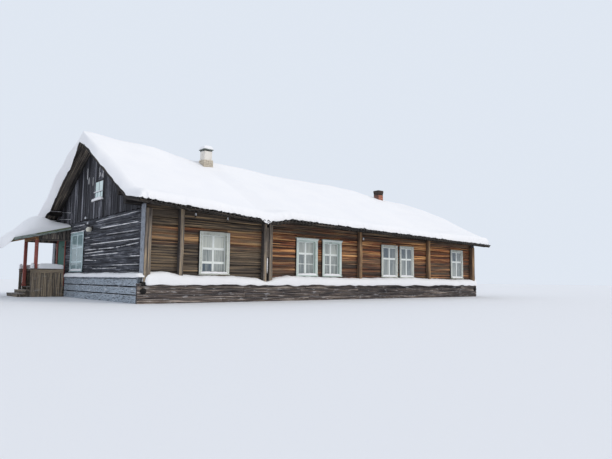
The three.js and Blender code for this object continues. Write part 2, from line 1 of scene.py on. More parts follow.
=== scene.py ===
# %% [markdown]
# A long log farmhouse in deep winter: log walls, a low gable roof under a thick coat of snow, two
# chimneys and a lean-to porch on the near gable. Every place below is first given in the house's own
# terms: X runs along the front wall, Y goes from the front wall to the back, Z is up, in metres.
# A piece is moved into the packed model's frame only when it is finished, so that the numbers here
# stay the ones a carpenter would read off the walls.

# %% Load the packed frame
import math
import random

import bmesh
import bpy
from mathutils import Matrix, Vector, noise


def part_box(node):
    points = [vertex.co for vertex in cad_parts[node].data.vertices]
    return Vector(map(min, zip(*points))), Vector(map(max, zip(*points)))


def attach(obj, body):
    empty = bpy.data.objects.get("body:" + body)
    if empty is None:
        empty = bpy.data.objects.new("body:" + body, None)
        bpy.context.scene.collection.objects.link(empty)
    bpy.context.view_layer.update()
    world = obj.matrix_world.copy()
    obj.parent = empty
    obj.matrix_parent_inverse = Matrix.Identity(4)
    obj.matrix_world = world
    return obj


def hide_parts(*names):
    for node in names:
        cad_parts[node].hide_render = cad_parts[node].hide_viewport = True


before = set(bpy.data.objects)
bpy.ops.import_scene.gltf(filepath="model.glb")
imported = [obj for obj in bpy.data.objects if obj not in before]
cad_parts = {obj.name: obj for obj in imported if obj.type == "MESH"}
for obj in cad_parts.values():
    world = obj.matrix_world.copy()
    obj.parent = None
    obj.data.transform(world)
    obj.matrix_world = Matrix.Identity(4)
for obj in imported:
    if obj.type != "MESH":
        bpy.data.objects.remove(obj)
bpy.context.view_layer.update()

ORIGIN = Vector((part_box("gable_wall_logs")[0].x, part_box("front_wall_logs")[0].y, 0.0))
print("nodes:", len(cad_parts), "house corner:", [round(c, 4) for c in ORIGIN])

# %% [markdown]
# The camera comes first. It stands low in front of the near corner and looks slightly up along the
# long wall. Its direction is built from three angles: the heading, the tilt and a small roll, and the
# camera's matrix has its right, up and back axes.

# %% Camera
FOCAL_LENGTH, SENSOR_WIDTH, FAR_CLIP = 31.34, 36.0, 400.0
CAMERA_PLACE = Vector((-15.2345, -20.666, 0.799))
HEADING, TILT, ROLL = (math.radians(angle) for angle in (49.41, 5.37, 0.60))


def make_camera():
    """Make the camera and turn it by its heading, tilt and roll."""
    flat = math.cos(TILT)
    ahead = Vector((math.cos(HEADING) * flat, math.sin(HEADING) * flat, math.sin(TILT)))
    level_right = Vector((math.sin(HEADING), -math.cos(HEADING), 0.0))
    level_up = level_right.cross(ahead)
    right = level_right * math.cos(ROLL) + level_up * math.sin(ROLL)
    up = level_up * math.cos(ROLL) - level_right * math.sin(ROLL)
    camera = bpy.data.objects.new("camera", bpy.data.cameras.new("camera"))
    optics = camera.data
    optics.lens, optics.sensor_width, optics.clip_end = FOCAL_LENGTH, SENSOR_WIDTH, FAR_CLIP
    turn = Matrix((right, up, -ahead)).transposed().to_4x4()
    camera.matrix_world = Matrix.Translation(CAMERA_PLACE) @ turn
    bpy.context.scene.collection.objects.link(camera)
    bpy.context.scene.camera = camera
    return camera


camera = make_camera()
print("camera at", [round(c, 2) for c in camera.location])

# %% [markdown]
# The main sizes are the ones the solids have. The roof has settled with age, so its eave and ridge
# are given at a few places along the house and read between them by straight lines. A seam is the
# hair's breadth that is left between parts that would otherwise touch.

# %% Main sizes
LENGTH, WIDTH, WALL = 18.4, 9.4, 0.22
MIDDLE = WIDTH / 2
COURSE = 0.252
SIDE_COURSES, GABLE_COURSES = 11, 12
SIDE_TOP, GABLE_TOP = SIDE_COURSES * COURSE, GABLE_COURSES * COURSE
EAVE_OUT, VERGE_OUT, FAR_VERGE_OUT = 1.0, 0.58, 0.25
COVER, KICK_RISE = 0.08, 0.16
ROOF_LINES = (
    (-0.58, 3.170, 6.050), (2.4, 2.985, 5.900), (4.5, 2.850, 5.640), (5.2, 2.980, 5.690),
    (14.3, 2.790, 5.550), (16.6, 2.755, 5.280), (18.65, 2.720, 5.170))
SILL, HEAD, LAP = 0.95, 2.4, 0.07
FRONT_WINDOWS = [(low, high, SILL, HEAD) for low, high in (
    (1.975, 3.16), (6.21, 7.31), (7.58, 8.65), (11.16, 12.27), (12.42, 13.45), (16.48, 17.56))]
BACK_WINDOWS = FRONT_WINDOWS[0:5:2]
FAR_WINDOW = (4.1, 5.3, 1.03, 2.48)
GABLE_WINDOW = (5.56, 7.11, 1.03, 2.6)
ATTIC_WINDOW = (3.62, 4.47, 3.68, 4.42)
DOOR = (7.98, 8.92, 0.44, 2.36)
LEDGE_OUT, BASE_OUT, LEDGE_BOARD = 0.2, 0.17, 0.04
FRONT_LEDGE, GABLE_LEDGE, GABLE_LEDGE_END = 0.62, 0.82, 7.22
WALL_POSTS = (((1.17, 1.32),), ((4.54, 4.69), (4.79, 4.95)), ((9.62, 9.8),), ((14.45, 14.62),))
POST_DEEP = 0.18
SEAM = 0.002


def between(table, x, column=1):
    """Read one column of a table by straight lines between its rows."""
    for low, high in zip(table, table[1:]):
        if x <= high[0]:
            share = limit((x - low[0]) / (high[0] - low[0]))
            return low[column] + (high[column] - low[column]) * share
    return table[-1][column]


def cover_top(x, y):
    """Top of the roof covering; y may be on either slope."""
    inward = min(y, WIDTH - y)
    eave, ridge = between(ROOF_LINES, x), between(ROOF_LINES, x, 2)
    if inward < 0:
        return eave + KICK_RISE * (inward + EAVE_OUT) / EAVE_OUT
    return eave + KICK_RISE + (ridge - eave - KICK_RISE) * inward / MIDDLE


def limit(value):
    """Keep a value between 0 and 1."""
    return min(1.0, max(0.0, value))


def about(middle, half):
    """The span that reaches as far to both sides of its middle."""
    return middle - half, middle + half


def narrowed(low, high, by=SEAM):
    """A span with the same taken off at both ends."""
    return low + by, high - by


def rims(low, high, wide):
    """The two strips of a width that lie inside the ends of a span."""
    return (low, low + wide), (high - wide, high)


def waver(*place):
    """Slow noise from -1 to 1 at a place of up to three numbers."""
    return noise.noise(Vector((*place, 0.0, 0.0)[:3]))


print("ridge at the near gable:", round(cover_top(0, MIDDLE), 3))

# %% [markdown]
# A wall is drawn once, lying along X with its outer face towards -Y. These matrices stand it where
# it belongs: as the front, mirrored as the back, turned as the near gable, and turned about the
# middle of the house as the far gable. A mirror turns faces inside out, so they are flipped back.

# %% Places of the walls
FRONT = Matrix.Identity(4)
BACK = Matrix(((1, 0, 0, 0), (0, -1, 0, WIDTH), (0, 0, 1, 0), (0, 0, 0, 1)))
GABLE = Matrix(((0, 1, 0, 0), (1, 0, 0, 0), (0, 0, 1, 0), (0, 0, 0, 1)))
FAR = Matrix(((0, -1, 0, LENGTH), (-1, 0, 0, WIDTH), (0, 0, 1, 0), (0, 0, 0, 1)))
ALONG_X = Matrix.Rotation(math.pi / 2, 4, "Y")
ALONG_Y = Matrix.Rotation(math.pi / 2, 4, "Z")
UPRIGHT = Matrix.Rotation(-math.pi / 2, 4, "Y")
X, Y, Z = 0, 1, 2
TURNS = ((FRONT, (0, 1, 2)), (ALONG_Y, (1, 0, 2)), (UPRIGHT, (2, 1, 0)))


def shift(x=0.0, y=0.0, z=0.0):
    """A matrix that moves by three lengths."""
    return Matrix.Translation((x, y, z))


print("back wall at y", round(BACK.translation.y, 3), "and far end at x", round(FAR.translation.x, 3))

# %% [markdown]
# Nearly every part is a board, a rod or a ball. A cube is the quickest start for a board, but real
# boards have eased edges that catch the light, and none is quite straight, so the cube is bevelled,
# cut across and bent a little by noise. The grain is kept as an attribute of the points. It is their
# place before the board is turned, so that the fibres always run along the wood.

# %% Boards, bars and balls
def lay_grain(part):
    """Let a part's grain follow its own X axis as it is now."""
    grain = part.verts.layers.float_vector.new("grain")
    for vert in part.verts:
        vert[grain] = vert.co
    return part


def cut_across(part, cuts):
    """Cut the long edges of a part along X into equal lengths."""
    reach = max(vert.co.x for vert in part.verts)
    long_edges = [e for e in part.edges if abs((e.verts[0].co - e.verts[1].co).x) > reach]
    bmesh.ops.subdivide_edges(part, edges=long_edges, cuts=cuts, use_grid_fill=True)
    return part


def stick(length, wide, thick, bevel=0.006, cuts=0, sway=0.0, chance=None):
    """A board along X about its middle, wide in Y and thick in Z, its edges eased and a bit bent."""
    part = bmesh.new()
    bmesh.ops.create_cube(part, size=1.0)
    bmesh.ops.scale(part, vec=(length, wide, thick), verts=part.verts)
    bmesh.ops.bevel(part, geom=part.edges[:], offset=bevel, offset_type="OFFSET", segments=1,
                    profile=0.5, affect="EDGES", material=-1)
    if cuts:
        cut_across(part, cuts)
    lay_grain(part)
    if sway:
        across, along, up = (chance.uniform(0, 99) for _ in range(3))
        for vert in part.verts:
            at = along + vert.co.x * 0.9
            vert.co += Vector((0, waver(at, across), waver(at, up))) * sway * 1.5
    return part


def rod(radius, long, at, sides=12, top=None):
    """A round rod or cone along Z about a place."""
    part = bmesh.new()
    bmesh.ops.create_cone(part, cap_ends=True, segments=sides, radius1=radius,
                          radius2=radius if top is None else top, depth=long, matrix=at)
    return part


def ball(around, high, shape):
    """A ball of radius 1 whose points are moved by a function of their place."""
    part = bmesh.new()
    bmesh.ops.create_uvsphere(part, u_segments=around, v_segments=high, radius=1.0)
    for vert in part.verts:
        vert.co = shape(*vert.co)
    bmesh.ops.recalc_face_normals(part, faces=part.faces)
    return part


print("parts: a board, a rod and a ball")

# %% [markdown]
# A wall has dozens of boards or logs. As many objects would be slow and hard to name, so the parts of
# one kind go into one piece, which has a run of chance of its own: a change in one piece leaves the
# others as they are. Each part gets a tone and its own start in the grain, so that no two are alike.

# %% Pieces
class Piece:
    """A mesh that grows part by part, with a place of its own and its own run of chance."""

    def __init__(self, seed, place=FRONT):
        self.mesh, self.place, self.chance = bmesh.new(), place, random.Random(seed)
        self.mesh.verts.layers.float_vector.new("grain")
        self.mesh.verts.layers.float.new("tone")

    def pick(self, low, high):
        """A number between two limits."""
        return self.chance.uniform(low, high)

    def lengths(self, low, high, shortest, longest):
        """Cut a run into lengths picked between two limits; a short rest joins the last one."""
        while low < high:
            end = low + self.pick(shortest, longest)
            end = high if end > high - shortest / 4 else end
            yield low, end
            low = end

    def add(self, part, tone=0.5, at=FRONT):
        """Add a part; its tone may be two limits, and its grain gets a start of its own."""
        if not part.verts.layers.float_vector.get("grain"):
            lay_grain(part)
        grain, tones = part.verts.layers.float_vector["grain"], part.verts.layers.float.new("tone")
        start = Vector([self.pick(0, 40) for _ in range(3)])
        tone = self.pick(*tone) if isinstance(tone, tuple) else tone
        for vert in part.verts:
            vert[grain] = vert[grain] + start
            vert[tones] = tone
        place = self.place @ at
        bmesh.ops.transform(part, matrix=place, verts=part.verts)
        if place.determinant() < 0:
            bmesh.ops.reverse_faces(part, faces=part.faces)
        part.to_mesh(SCRATCH)
        part.free()
        self.mesh.from_mesh(SCRATCH)

    def board(self, *spans, axis=X, tone=(0.3, 0.7), at=FRONT, **shape):
        """Add a board that fills three spans, its grain along an axis."""
        low, high = (Vector(ends) for ends in zip(*spans))
        turn, order = TURNS[axis]
        size = high - low
        part = stick(*(size[i] for i in order), chance=self.chance, **shape)
        self.add(part, tone, at @ Matrix.Translation((low + high) / 2) @ turn)

    def upright(self, low, high, base, top_at, face, tone, thick=0.025):
        """Add an upright board between two places on a wall, its top cut along a line."""
        part = stick(1.0, high - low, thick, 0.003, 4)
        bend, tilt = self.pick(0, 99), self.pick(-0.005, 0.005)
        for vert in part.verts:
            share = vert.co.x + 0.5
            across = (low + high) / 2 + vert.co.y + tilt * (share - 0.5)
            z = base + share * max(0.02, top_at(across) - base)
            vert.co = (across, face + thick / 2 + vert.co.z + waver(bend, z * 1.2) * 0.004, z)
        self.add(part, tone)

    def finish(self, name, look, *nodes, slot=None, body="house", smooth=None):
        bmesh.ops.translate(self.mesh, vec=ORIGIN, verts=self.mesh.verts)
        mesh = bpy.data.meshes.new(name)
        self.mesh.to_mesh(mesh)
        triangles = sum(len(face.verts) - 2 for face in self.mesh.faces)
        self.mesh.free()
        if smooth:
            mesh.polygons.foreach_set("use_smooth", [True] * len(mesh.polygons))
            mesh.set_sharp_from_angle(angle=math.radians(smooth))
        material, usual_slot = LOOKS[look]
        mesh.materials.append(material)
        made = bpy.data.objects.new(name, mesh)
        bpy.context.scene.collection.objects.link(made)
        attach(made, body)
        slot or usual_slot
        if nodes:
            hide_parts(*nodes)
        print(f"{name}: {triangles} triangles")


def pieces(first, count):
    """New pieces whose seeds follow each other."""
    return [Piece(seed) for seed in range(first, first + count)]


SCRATCH = bpy.data.meshes.new("scratch")
LOOKS = {}
print("a piece can:", ", ".join(name for name in vars(Piece) if name[0] != "_"))

# %% [markdown]
# Weathered wood is a few things at once: broad patches where rain and sun reached it, long fibres
# along the grain, and dark cracks that follow them. The node groups below make these from noise that
# is stretched along the piece's own grain, so that a log, a post and a board all use them. A value
# in a node tree can be added, multiplied, stepped and mixed here as plainly as a number.

# %% Values in node trees
def add_node(tree, kind, *inputs, **named):
    """Add a node. Small names are its settings; inputs are values or numbers, in order or by name."""
    made = tree.nodes.new("ShaderNode" + kind)
    for key in [key for key in named if key.islower()]:
        setattr(made, key, named.pop(key))
    for key, value in [*enumerate(inputs), *named.items()]:
        if isinstance(value, Value):
            value.send(made.inputs[key])
        elif value is not None:
            made.inputs[key].default_value = value
    return made


class Value:
    """What a node gives, with plain arithmetic that adds the next nodes."""

    def __init__(self, giver, output=0):
        self.socket, self.tree = giver.outputs[output], giver.id_data

    def send(self, socket):
        """Link this value to a node's input."""
        self.tree.links.new(self.socket, socket)

    def then(self, kind, *inputs, output=0, **named):
        """The output of a new node that takes this value first."""
        return Value(add_node(self.tree, kind, self, *inputs, **named), output)

    def __add__(self, other):
        return self.then("Math", other, operation="ADD")

    def __mul__(self, other):
        return self.then("Math", other, operation="MULTIPLY")

    def __sub__(self, other):
        return self.then("Math", other, operation="SUBTRACT")

    def clamped(self):
        """The value kept between 0 and 1."""
        return self.then("Math", 0.0, operation="ADD", use_clamp=True)

    def step(self, low, high):
        """A soft step from 0 at low to 1 at high."""
        return self.then("MapRange", low, high, interpolation_type="SMOOTHSTEP")

    def mix(self, first, second):
        """The colour that this share gives between two colours."""
        return self.then("Mix", *[None] * 5, first, second, output=2, data_type="RGBA")

    def scaled(self, by):
        """A vector or colour times a number."""
        return self.then("VectorMath", Scale=by, operation="SCALE")

    def noise(self, *scale, detail=4.0, rough=0.6, warp=0.0):
        """Noise at this place, which is stretched by one or three numbers."""
        mapped = self.then("Mapping", Scale=scale if len(scale) == 3 else scale * 3)
        return mapped.then("TexNoise", Scale=1.0, Detail=detail, Roughness=rough, Distortion=warp)

    def along(self, axis):
        """One of the three numbers of a vector."""
        return self.then("SeparateXYZ", output=axis)


def new_group(name, given, gives):
    """A shader node group with named sockets: its tree, what comes in, and where things go out."""
    tree = bpy.data.node_groups.new(name, "ShaderNodeTree")
    for direction, sockets in (("INPUT", given), ("OUTPUT", gives)):
        for label, kind in sockets.items():
            tree.interface.new_socket(name=label, in_out=direction, socket_type="NodeSocket" + kind)
    source, target = tree.nodes.new("NodeGroupInput"), tree.nodes.new("NodeGroupOutput")
    return tree, [Value(source, label) for label in given], target.inputs


print("a value can:", ", ".join(name for name in vars(Value) if name[0] != "_"))

# %% [markdown]
# Old wood shows its fibres as light and dark streaks, and its cracks stay dark. A wave texture could
# draw them, but its rings repeat. Noise that is drawn out along the grain never does, so the wood
# group mixes four colours by it. Paint comes off along the same grain, and frost stays on what looks
# up. They are groups, because many looks share them.

# %% Wood, paint and frost groups
COLOR_AND_HEIGHT = {"Color": "Color", "Height": "Float"}


def make_wood_group():
    """Colour and height of weathered wood: four colours from hollow to sunlit streak along a grain."""
    tree, (grain, tone, contrast, dark, base, warm, light), out = new_group("wood grain", {
        "Grain": "Vector", "Tone": "Float", "Contrast": "Float",
        "Dark": "Color", "Base": "Color", "Warm": "Color", "Light": "Color"}, COLOR_AND_HEIGHT)
    broad = grain.noise(0.5, 10.0, 10.0, warp=0.4)
    streaks = grain.noise(0.9, 31.0, 31.0, detail=5.0, rough=0.65, warp=0.3)
    fibres = grain.noise(6.0, 150.0, 150.0, detail=3.0)
    split = grain.noise(0.7, 42.0, 42.0, detail=2.0, rough=0.5, warp=0.6).step(0.32, 0.38)
    level = (broad * 0.5 + streaks * 1.9 - 1.2) * contrast + 0.275 + tone * 0.45
    color = level.step(0.30, 0.42).mix(dark, base)
    color = level.step(0.50, 0.60).mix(color, warm)
    color = level.step(0.66, 0.76).mix(color, light)
    split.mix(dark, color.scaled(fibres * 0.9 + 0.55)).send(out["Color"])
    ((fibres * 0.3 + streaks * 0.5) * (split * 0.8 + 0.2)).send(out["Height"])
    return tree


def make_paint_group():
    """Paint on wood that has faded in patches and come off along the grain."""
    tree, (grain, paint, wood, wear), out = new_group("worn paint", {
        "Grain": "Vector", "Paint": "Color", "Wood": "Color", "Wear": "Float"}, COLOR_AND_HEIGHT)
    fading = grain.noise(2.0, 6.0, 6.0, detail=3.0)
    chips = grain.noise(6.0, 42.0, 42.0, detail=6.0, rough=0.7)
    dirt = grain.noise(1.4, 70.0, 70.0)
    bare = (chips + wear * 0.35 - 0.72).step(0.0, 0.05)
    tint = (fading * 0.5 + 0.75) * (dirt * 0.5 + 0.75)
    bare.mix(paint.scaled(tint), wood).send(out["Color"])
    (dirt * 0.3 - bare).send(out["Height"])
    return tree


def make_frost_group():
    """A mask of rime and blown snow: on faces that look up, and in specks drawn out along a wall."""
    tree, (place, normal, amount), out = new_group("frost", {
        "Place": "Vector", "Normal": "Vector", "Amount": "Float"}, {"Mask": "Float"})
    specks = place.noise(2.6, 2.6, 14.0, detail=5.0, rough=0.65).step(0.58, 0.66)
    ((normal.along(Z).step(0.35, 0.85) * 1.2 + specks) * amount).clamped().send(out["Mask"])
    return tree


wood_grain, worn_paint, frost = make_wood_group(), make_paint_group(), make_frost_group()
print("node groups:", wood_grain.name, worn_paint.name, frost.name)

# %% [markdown]
# Each look is a material of its own that puts these effects together with its own colours. Gloss
# numbers that are the same all over stay on the shader itself. A look also names the material slot
# of the packed model that it usually stands for.

# %% Wood and paint looks
def rgb(red, green, blue):
    """A colour as a photographer reads it, 0 to 255, turned into the light values a shader needs."""
    return tuple(((c / 255 + 0.055) / 1.055) ** 2.4 for c in (red, green, blue)) + (1.0,)


# The colour of painted shade on faces turned away from the sun, and the colour of frost.
PAINTED_SHADE_COLOR, FROST_COLOR = rgb(60, 60, 64), (0.89, 0.88, 0.90, 1.0)
GREY_LOG = ((46, 40, 37), (90, 80, 70), (114, 98, 80), (172, 144, 108))
GOLD_LOG = ((46, 32, 28), (114, 68, 48), (178, 100, 58), (246, 188, 122))
# Name, slot, rime, painted shade on faces that look towards -X, and the four colours from crack to sunlit
# streak
WOODS = (
    ("grey logs", "grey_logs", 0.12, 0.0, (20, 20, 24), (62, 63, 70), (90, 92, 99), (150, 152, 160)),
    ("grey boards", "grey_boards", 0.0, 0.0, (20, 19, 22), (55, 55, 60), (84, 84, 90), (156, 156, 164)),
    ("deck boards", "deck_boards", 0.15, 0.0, (50, 45, 42), (98, 91, 83), (126, 113, 98), (168, 150, 126)),
    ("base wood", "base_boards", 0.3, 0.0, (30, 27, 28), (74, 67, 66), (104, 92, 84), (164, 152, 142)),
    ("warm wood", "deck_boards", 0.05, 0.5, (58, 47, 40), (128, 102, 78), (164, 128, 92), (206, 168, 124)),
    ("post wood", "deck_boards", 0.05, 0.75, (54, 48, 45), (114, 105, 97), (138, 124, 108), (182, 160, 130)),
    ("soffit wood", "deck_boards", 0.0, 0.0, (44, 41, 40), (92, 87, 83), (118, 108, 98), (156, 144, 130)),
    ("eave wood", "grey_boards", 0.0, 0.0, (22, 20, 19), (44, 40, 37), (62, 54, 48), (92, 80, 68)),
    ("dark wood", "grey_boards", 0.0, 0.0, (18, 17, 18), (42, 38, 37), (62, 55, 50), (88, 76, 66)),
    ("beam wood", "deck_boards", 0.0, 0.0, (58, 46, 40), (126, 94, 70), (170, 118, 74), (204, 154, 102)))
# Name, slot, wear, rime, the paint and the wood under it
PAINTS = (
    ("base paint", "base_boards", 0.6, 0.55, (162, 172, 182), (86, 90, 96)),
    ("corner paint", "base_boards", 0.6, 0.1, (152, 158, 168), (100, 102, 108)),
    ("pale paint", "pale_paint", 0.45, 0.05, (192, 194, 184), (124, 124, 116)),
    ("white paint", "pale_paint", 0.2, 0.05, (232, 235, 231), (176, 174, 166)),
    ("mint paint", "pale_paint", 0.35, 0.3, (194, 207, 199), (130, 134, 126)),
    ("blue paint", "blue_paint", 0.5, 0.1, (158, 180, 182), (96, 100, 100)),
    ("icy paint", "blue_paint", 0.3, 0.2, (206, 222, 224), (140, 150, 152)),
    ("trim paint", "fascia_paint", 0.6, 0.15, (146, 156, 150), (104, 106, 102)),
    ("red paint", "red_paint", 0.4, 0.1, (160, 88, 78), (112, 84, 74)),
    ("green paint", "green_paint", 0.3, 0.05, (70, 122, 108), (72, 74, 68)),
    ("fascia paint", "fascia_paint", 0.6, 0.15, (112, 124, 84), (92, 92, 82)))


def new_look(name, slot, roughness, specular=0.3):
    """An empty material kept under its name: its tree, its shader and where it is looked up."""
    material = bpy.data.materials.new(name)
    material.use_nodes = True
    tree = material.node_tree
    shader = tree.nodes["Principled BSDF"].inputs
    shader["Roughness"].default_value = roughness
    shader["Specular IOR Level"].default_value = specular
    LOOKS[name] = (material, slot)
    return tree, shader, Value(add_node(tree, "TexCoord"), "Object")


def attribute(tree, name, output="Fac"):
    """One of a piece's own attributes."""
    return Value(add_node(tree, "Attribute", attribute_name=name), output)


def add_group(tree, group, *inputs):
    """Place a node group in a material; gives its node."""
    return add_node(tree, "Group", *inputs, node_tree=group)


def dress(tree, shader, color, height, rime=0.0, damp=0.0, bump=0.6, depth=0.004):
    """Finish a material: painted shade on faces that look towards -X, away from the sun, frost over its
    colour, its height as a bump.
    """
    source = add_node(tree, "TexCoord")
    place, normal = Value(source, "Object"), Value(source, "Normal")
    # Faces that look towards -X, away from the sun, are darkened: painted shade.
    if damp:
        color = (normal.along(X).step(-0.35, -0.8) * damp).mix(color, PAINTED_SHADE_COLOR)
    if rime:
        color = Value(add_group(tree, frost, place, normal, rime)).mix(color, FROST_COLOR)
    color.send(shader["Base Color"])
    Value(add_node(tree, "Bump", Strength=bump, Distance=depth, Height=height)).send(shader["Normal"])


def wood_colors(tree, colors, contrast=1.0, long=1.0, size=1.0):
    """The wood group with four colours, on a piece's own grain and tone."""
    grain = attribute(tree, "grain", "Vector").then(
        "VectorMath", (1 / long, 1 / size, 1 / size), operation="MULTIPLY")
    tone, colors = attribute(tree, "tone"), [rgb(*color) for color in colors]
    made = add_group(tree, wood_grain, grain, tone, contrast, *colors)
    return Value(made), Value(made, 1)


def log_look():
    """Logs of the long walls: grey-brown in the first bays and low down, sunburnt elsewhere, and grey high
    up under the eave as painted shade.
    """
    tree, shader, place = new_look("brown logs", "brown_logs", 0.88)
    grey, height = wood_colors(tree, GREY_LOG, 1.2, 2.4, 0.8)
    gold = wood_colors(tree, GOLD_LOG, 1.6, 3.0, 1.0)[0]
    past = place.along(X).step(ORIGIN.x + 4.4, ORIGIN.x + 5.0)
    up = place.along(Z)
    low, high = up.step(1.95, 1.6), up.step(2.45, 2.65)
    share = place.noise(0.4, 0.4, 8.0) * 2.0 - 0.7
    # High up under the eave the logs turn to the grey colours: painted shade.
    share = share + past * 0.5 - high * 0.6 - low * (past * -0.25 + 0.7)
    dress(tree, shader, share.clamped().mix(grey, gold), height)


log_look()
for name, slot, rime, damp, *colors in WOODS:
    tree, shader, _ = new_look(name, slot, 0.88)
    dress(tree, shader, *wood_colors(tree, colors), rime, damp)
for name, slot, wear, rime, paint, wood in PAINTS:
    tree, shader, _ = new_look(name, slot, 0.6)
    made = add_group(tree, worn_paint, attribute(tree, "grain", "Vector"), rgb(*paint), rgb(*wood), wear)
    dress(tree, shader, Value(made), Value(made, 1), rime, bump=0.5, depth=0.003)
print("wood and paint looks:", len(LOOKS))

# %% [markdown]
# Snow could be left plain white, but it would look like plastic, so slow noise tints it and fine noise
# roughens it. The slow noise also gives the swells of its bump, and where they sink the tint is a little
# darker and bluer: painted shade in the hollows. Brick, plaster and metal differ only in their colours,
# their gloss and the size of their stains, so one function makes them all. Glass shows the pale folds of
# a curtain close behind it, which costs far less than a lit room would.

# %% Snow, mineral, metal and glass looks
def snow_look():
    """Fresh dry snow: nearly white, with painted shade a little darker and bluer in the hollows of its bump,
    and a fine sparkle of grain.
    """
    tree, shader, place = new_look("snow", "snow", 0.7, 0.25)
    drifts = place.noise(0.7, detail=3.0)
    # Where the slow swells sink, the colour is darker and bluer: painted shade in the hollows.
    color = drifts.step(0.3, 0.7).mix((0.87, 0.86, 0.875, 1.0), (0.90, 0.885, 0.89, 1.0))
    height = drifts * 3.0 + place.noise(45.0, detail=5.0, rough=0.7)
    dress(tree, shader, color, height, bump=0.35, depth=0.012)


def mottled_look(name, slot, scale, roughness, light, dark, stain, rime=0.0, metallic=0.0, damp=0.0):
    """A mineral or metal surface with stains, and painted shade on its faces that look towards -X where
    asked.
    """
    tree, shader, place = new_look(name, slot, roughness)
    shader["Metallic"].default_value = metallic
    broad, fine = place.noise(scale, rough=0.65), place.noise(scale * 14, detail=5.0, rough=0.7)
    drips = place.noise(scale * 3, scale * 3, scale * 0.5)
    color = (attribute(tree, "tone") - 0.5 + broad).clamped().mix(rgb(*dark), rgb(*light))
    color = drips.step(0.55, 0.75).mix(color, rgb(*stain)).scaled(fine * 0.5 + 0.75)
    dress(tree, shader, color, fine + broad, rime, damp, 0.5)


def glass_look(name, slot, light, dark, rime):
    """Window glass with the pale cloth of a curtain close behind it, and rime in patches."""
    tree, shader, _ = new_look(name, slot, 0.12, 0.6)
    grain = attribute(tree, "grain", "Vector")
    folds = grain.noise(18.0, 1.0, 1.2, detail=2.0, rough=0.5, warp=0.4)
    icy = grain.noise(7.0, detail=6.0, rough=0.7).step(0.5, 0.75)
    color = (folds * 0.9 + attribute(tree, "tone") - 0.45).clamped().mix(rgb(*dark), rgb(*light))
    (icy * rime).mix(color, rgb(216, 224, 224)).send(shader["Base Color"])
    (icy * 0.4 + 0.08).send(shader["Roughness"])


snow_look()
# In the two brick rows the last number is painted shade on the faces that look towards -X.
for row in (
        ("roof sheet", "roof_sheet", 1.5, 0.9, (74, 69, 64), (38, 35, 33), (30, 30, 26), 0.06),
        ("plaster", "plaster", 3.0, 0.9, (242, 238, 232), (208, 200, 190), (170, 160, 148)),
        ("base brick", "brick", 6.0, 0.9, (216, 206, 188), (172, 160, 142), (128, 116, 102)),
        ("brick", "brick", 6.0, 0.9, (204, 132, 106), (132, 78, 60), (84, 62, 56), 0.0, 0.0, 0.6),
        ("soot brick", "brick", 6.0, 0.9, (78, 60, 50), (40, 33, 30), (30, 27, 26), 0.0, 0.0, 0.3),
        ("mortar", "plaster", 9.0, 0.95, (150, 142, 132), (108, 102, 96), (80, 76, 72)),
        ("tin", "sheet_metal", 5.0, 0.45, (126, 134, 128), (92, 98, 96), (104, 78, 60), 0.2, 0.7),
        ("iron", "sheet_metal", 12.0, 0.6, (70, 62, 58), (42, 38, 37), (86, 54, 38), 0.0, 0.6),
        ("enamel", "lamp_shell", 8.0, 0.35, (232, 228, 212), (206, 200, 182), (150, 132, 104), 0.2),
        ("china", "lamp_shell", 9.0, 0.2, (236, 238, 240), (214, 216, 220), (196, 196, 196))):
    mottled_look(*row)
glass_look("pane glass", "pale_paint", (206, 208, 198), (70, 84, 96), 0.15)
glass_look("icy glass", "blue_paint", (160, 182, 182), (92, 116, 120), 0.3)
glass_look("frozen glass", "blue_paint", (222, 238, 234), (150, 180, 180), 0.5)
print("looks:", len(LOOKS))

# %% [markdown]
# The snow on the roof is one soft blanket. It starts as a flat grid, finer towards its rims, that is
# extruded to two layers and draped: the lower one on the covering, the upper one on top of the snow.
# The depth grows from the rim as a quarter circle does, so that the edge is a rounded lip. Slow noise
# gives it the swells that wind leaves, and over the near verge of the back slope it rolls down.

# %% Sheets of snow
RIDGE_SNOW = (
    (-0.58, 6.33), (-0.27, 6.37), (0.7, 6.24), (2.4, 6.20), (3.3, 6.05), (4.25, 5.93), (5.3, 6.01),
    (6.6, 5.95), (8.5, 5.85), (12.4, 5.84), (14.3, 5.77), (15.5, 5.55), (16.8, 5.38), (18.2, 5.34),
    (18.65, 5.29))
FAR_DEPTH = (
    (-1.0, 0.32), (-0.65, 0.31), (-0.27, 0.42), (0.0, 0.51), (1.0, 0.54), (1.67, 0.58), (2.35, 0.54),
    (3.05, 0.50), (3.77, 0.42), (4.7, 0.26))
DROOP = (
    (4.7, 0.2), (5.2, 0.5), (5.7, 0.5), (6.0, 0.38), (6.8, 0.37), (7.5, 0.43), (8.1, 0.46), (8.6, 0.34),
    (10.4, 0.2))
SNOW_BACK, SNOW_PAST = 0.035, 0.03
SNOW_LIP, VERGE_LIP = 0.26, 0.34
SNOW_ALONG, SNOW_ACROSS, RIM_SHARE = 400, 104, 0.09
SLOPE_DEPTH, LEAST_SNOW, RAGGED_RIM = 0.30, 0.008, 0.12
ROLL_DEPTH, ROLL_OUT, ROLL_CLEAR, ROLL_TURN = 0.38, 0.20, 0.015, math.radians(153)
TONGUE_X, TONGUE_WIDE, TONGUE_LOW = 4.08, 0.26, 0.17
# Where the snow is heaped against a chimney, and how high
HEAPS = ((4.55, 4.2, 0.07), (15.72, 4.2, 0.04))


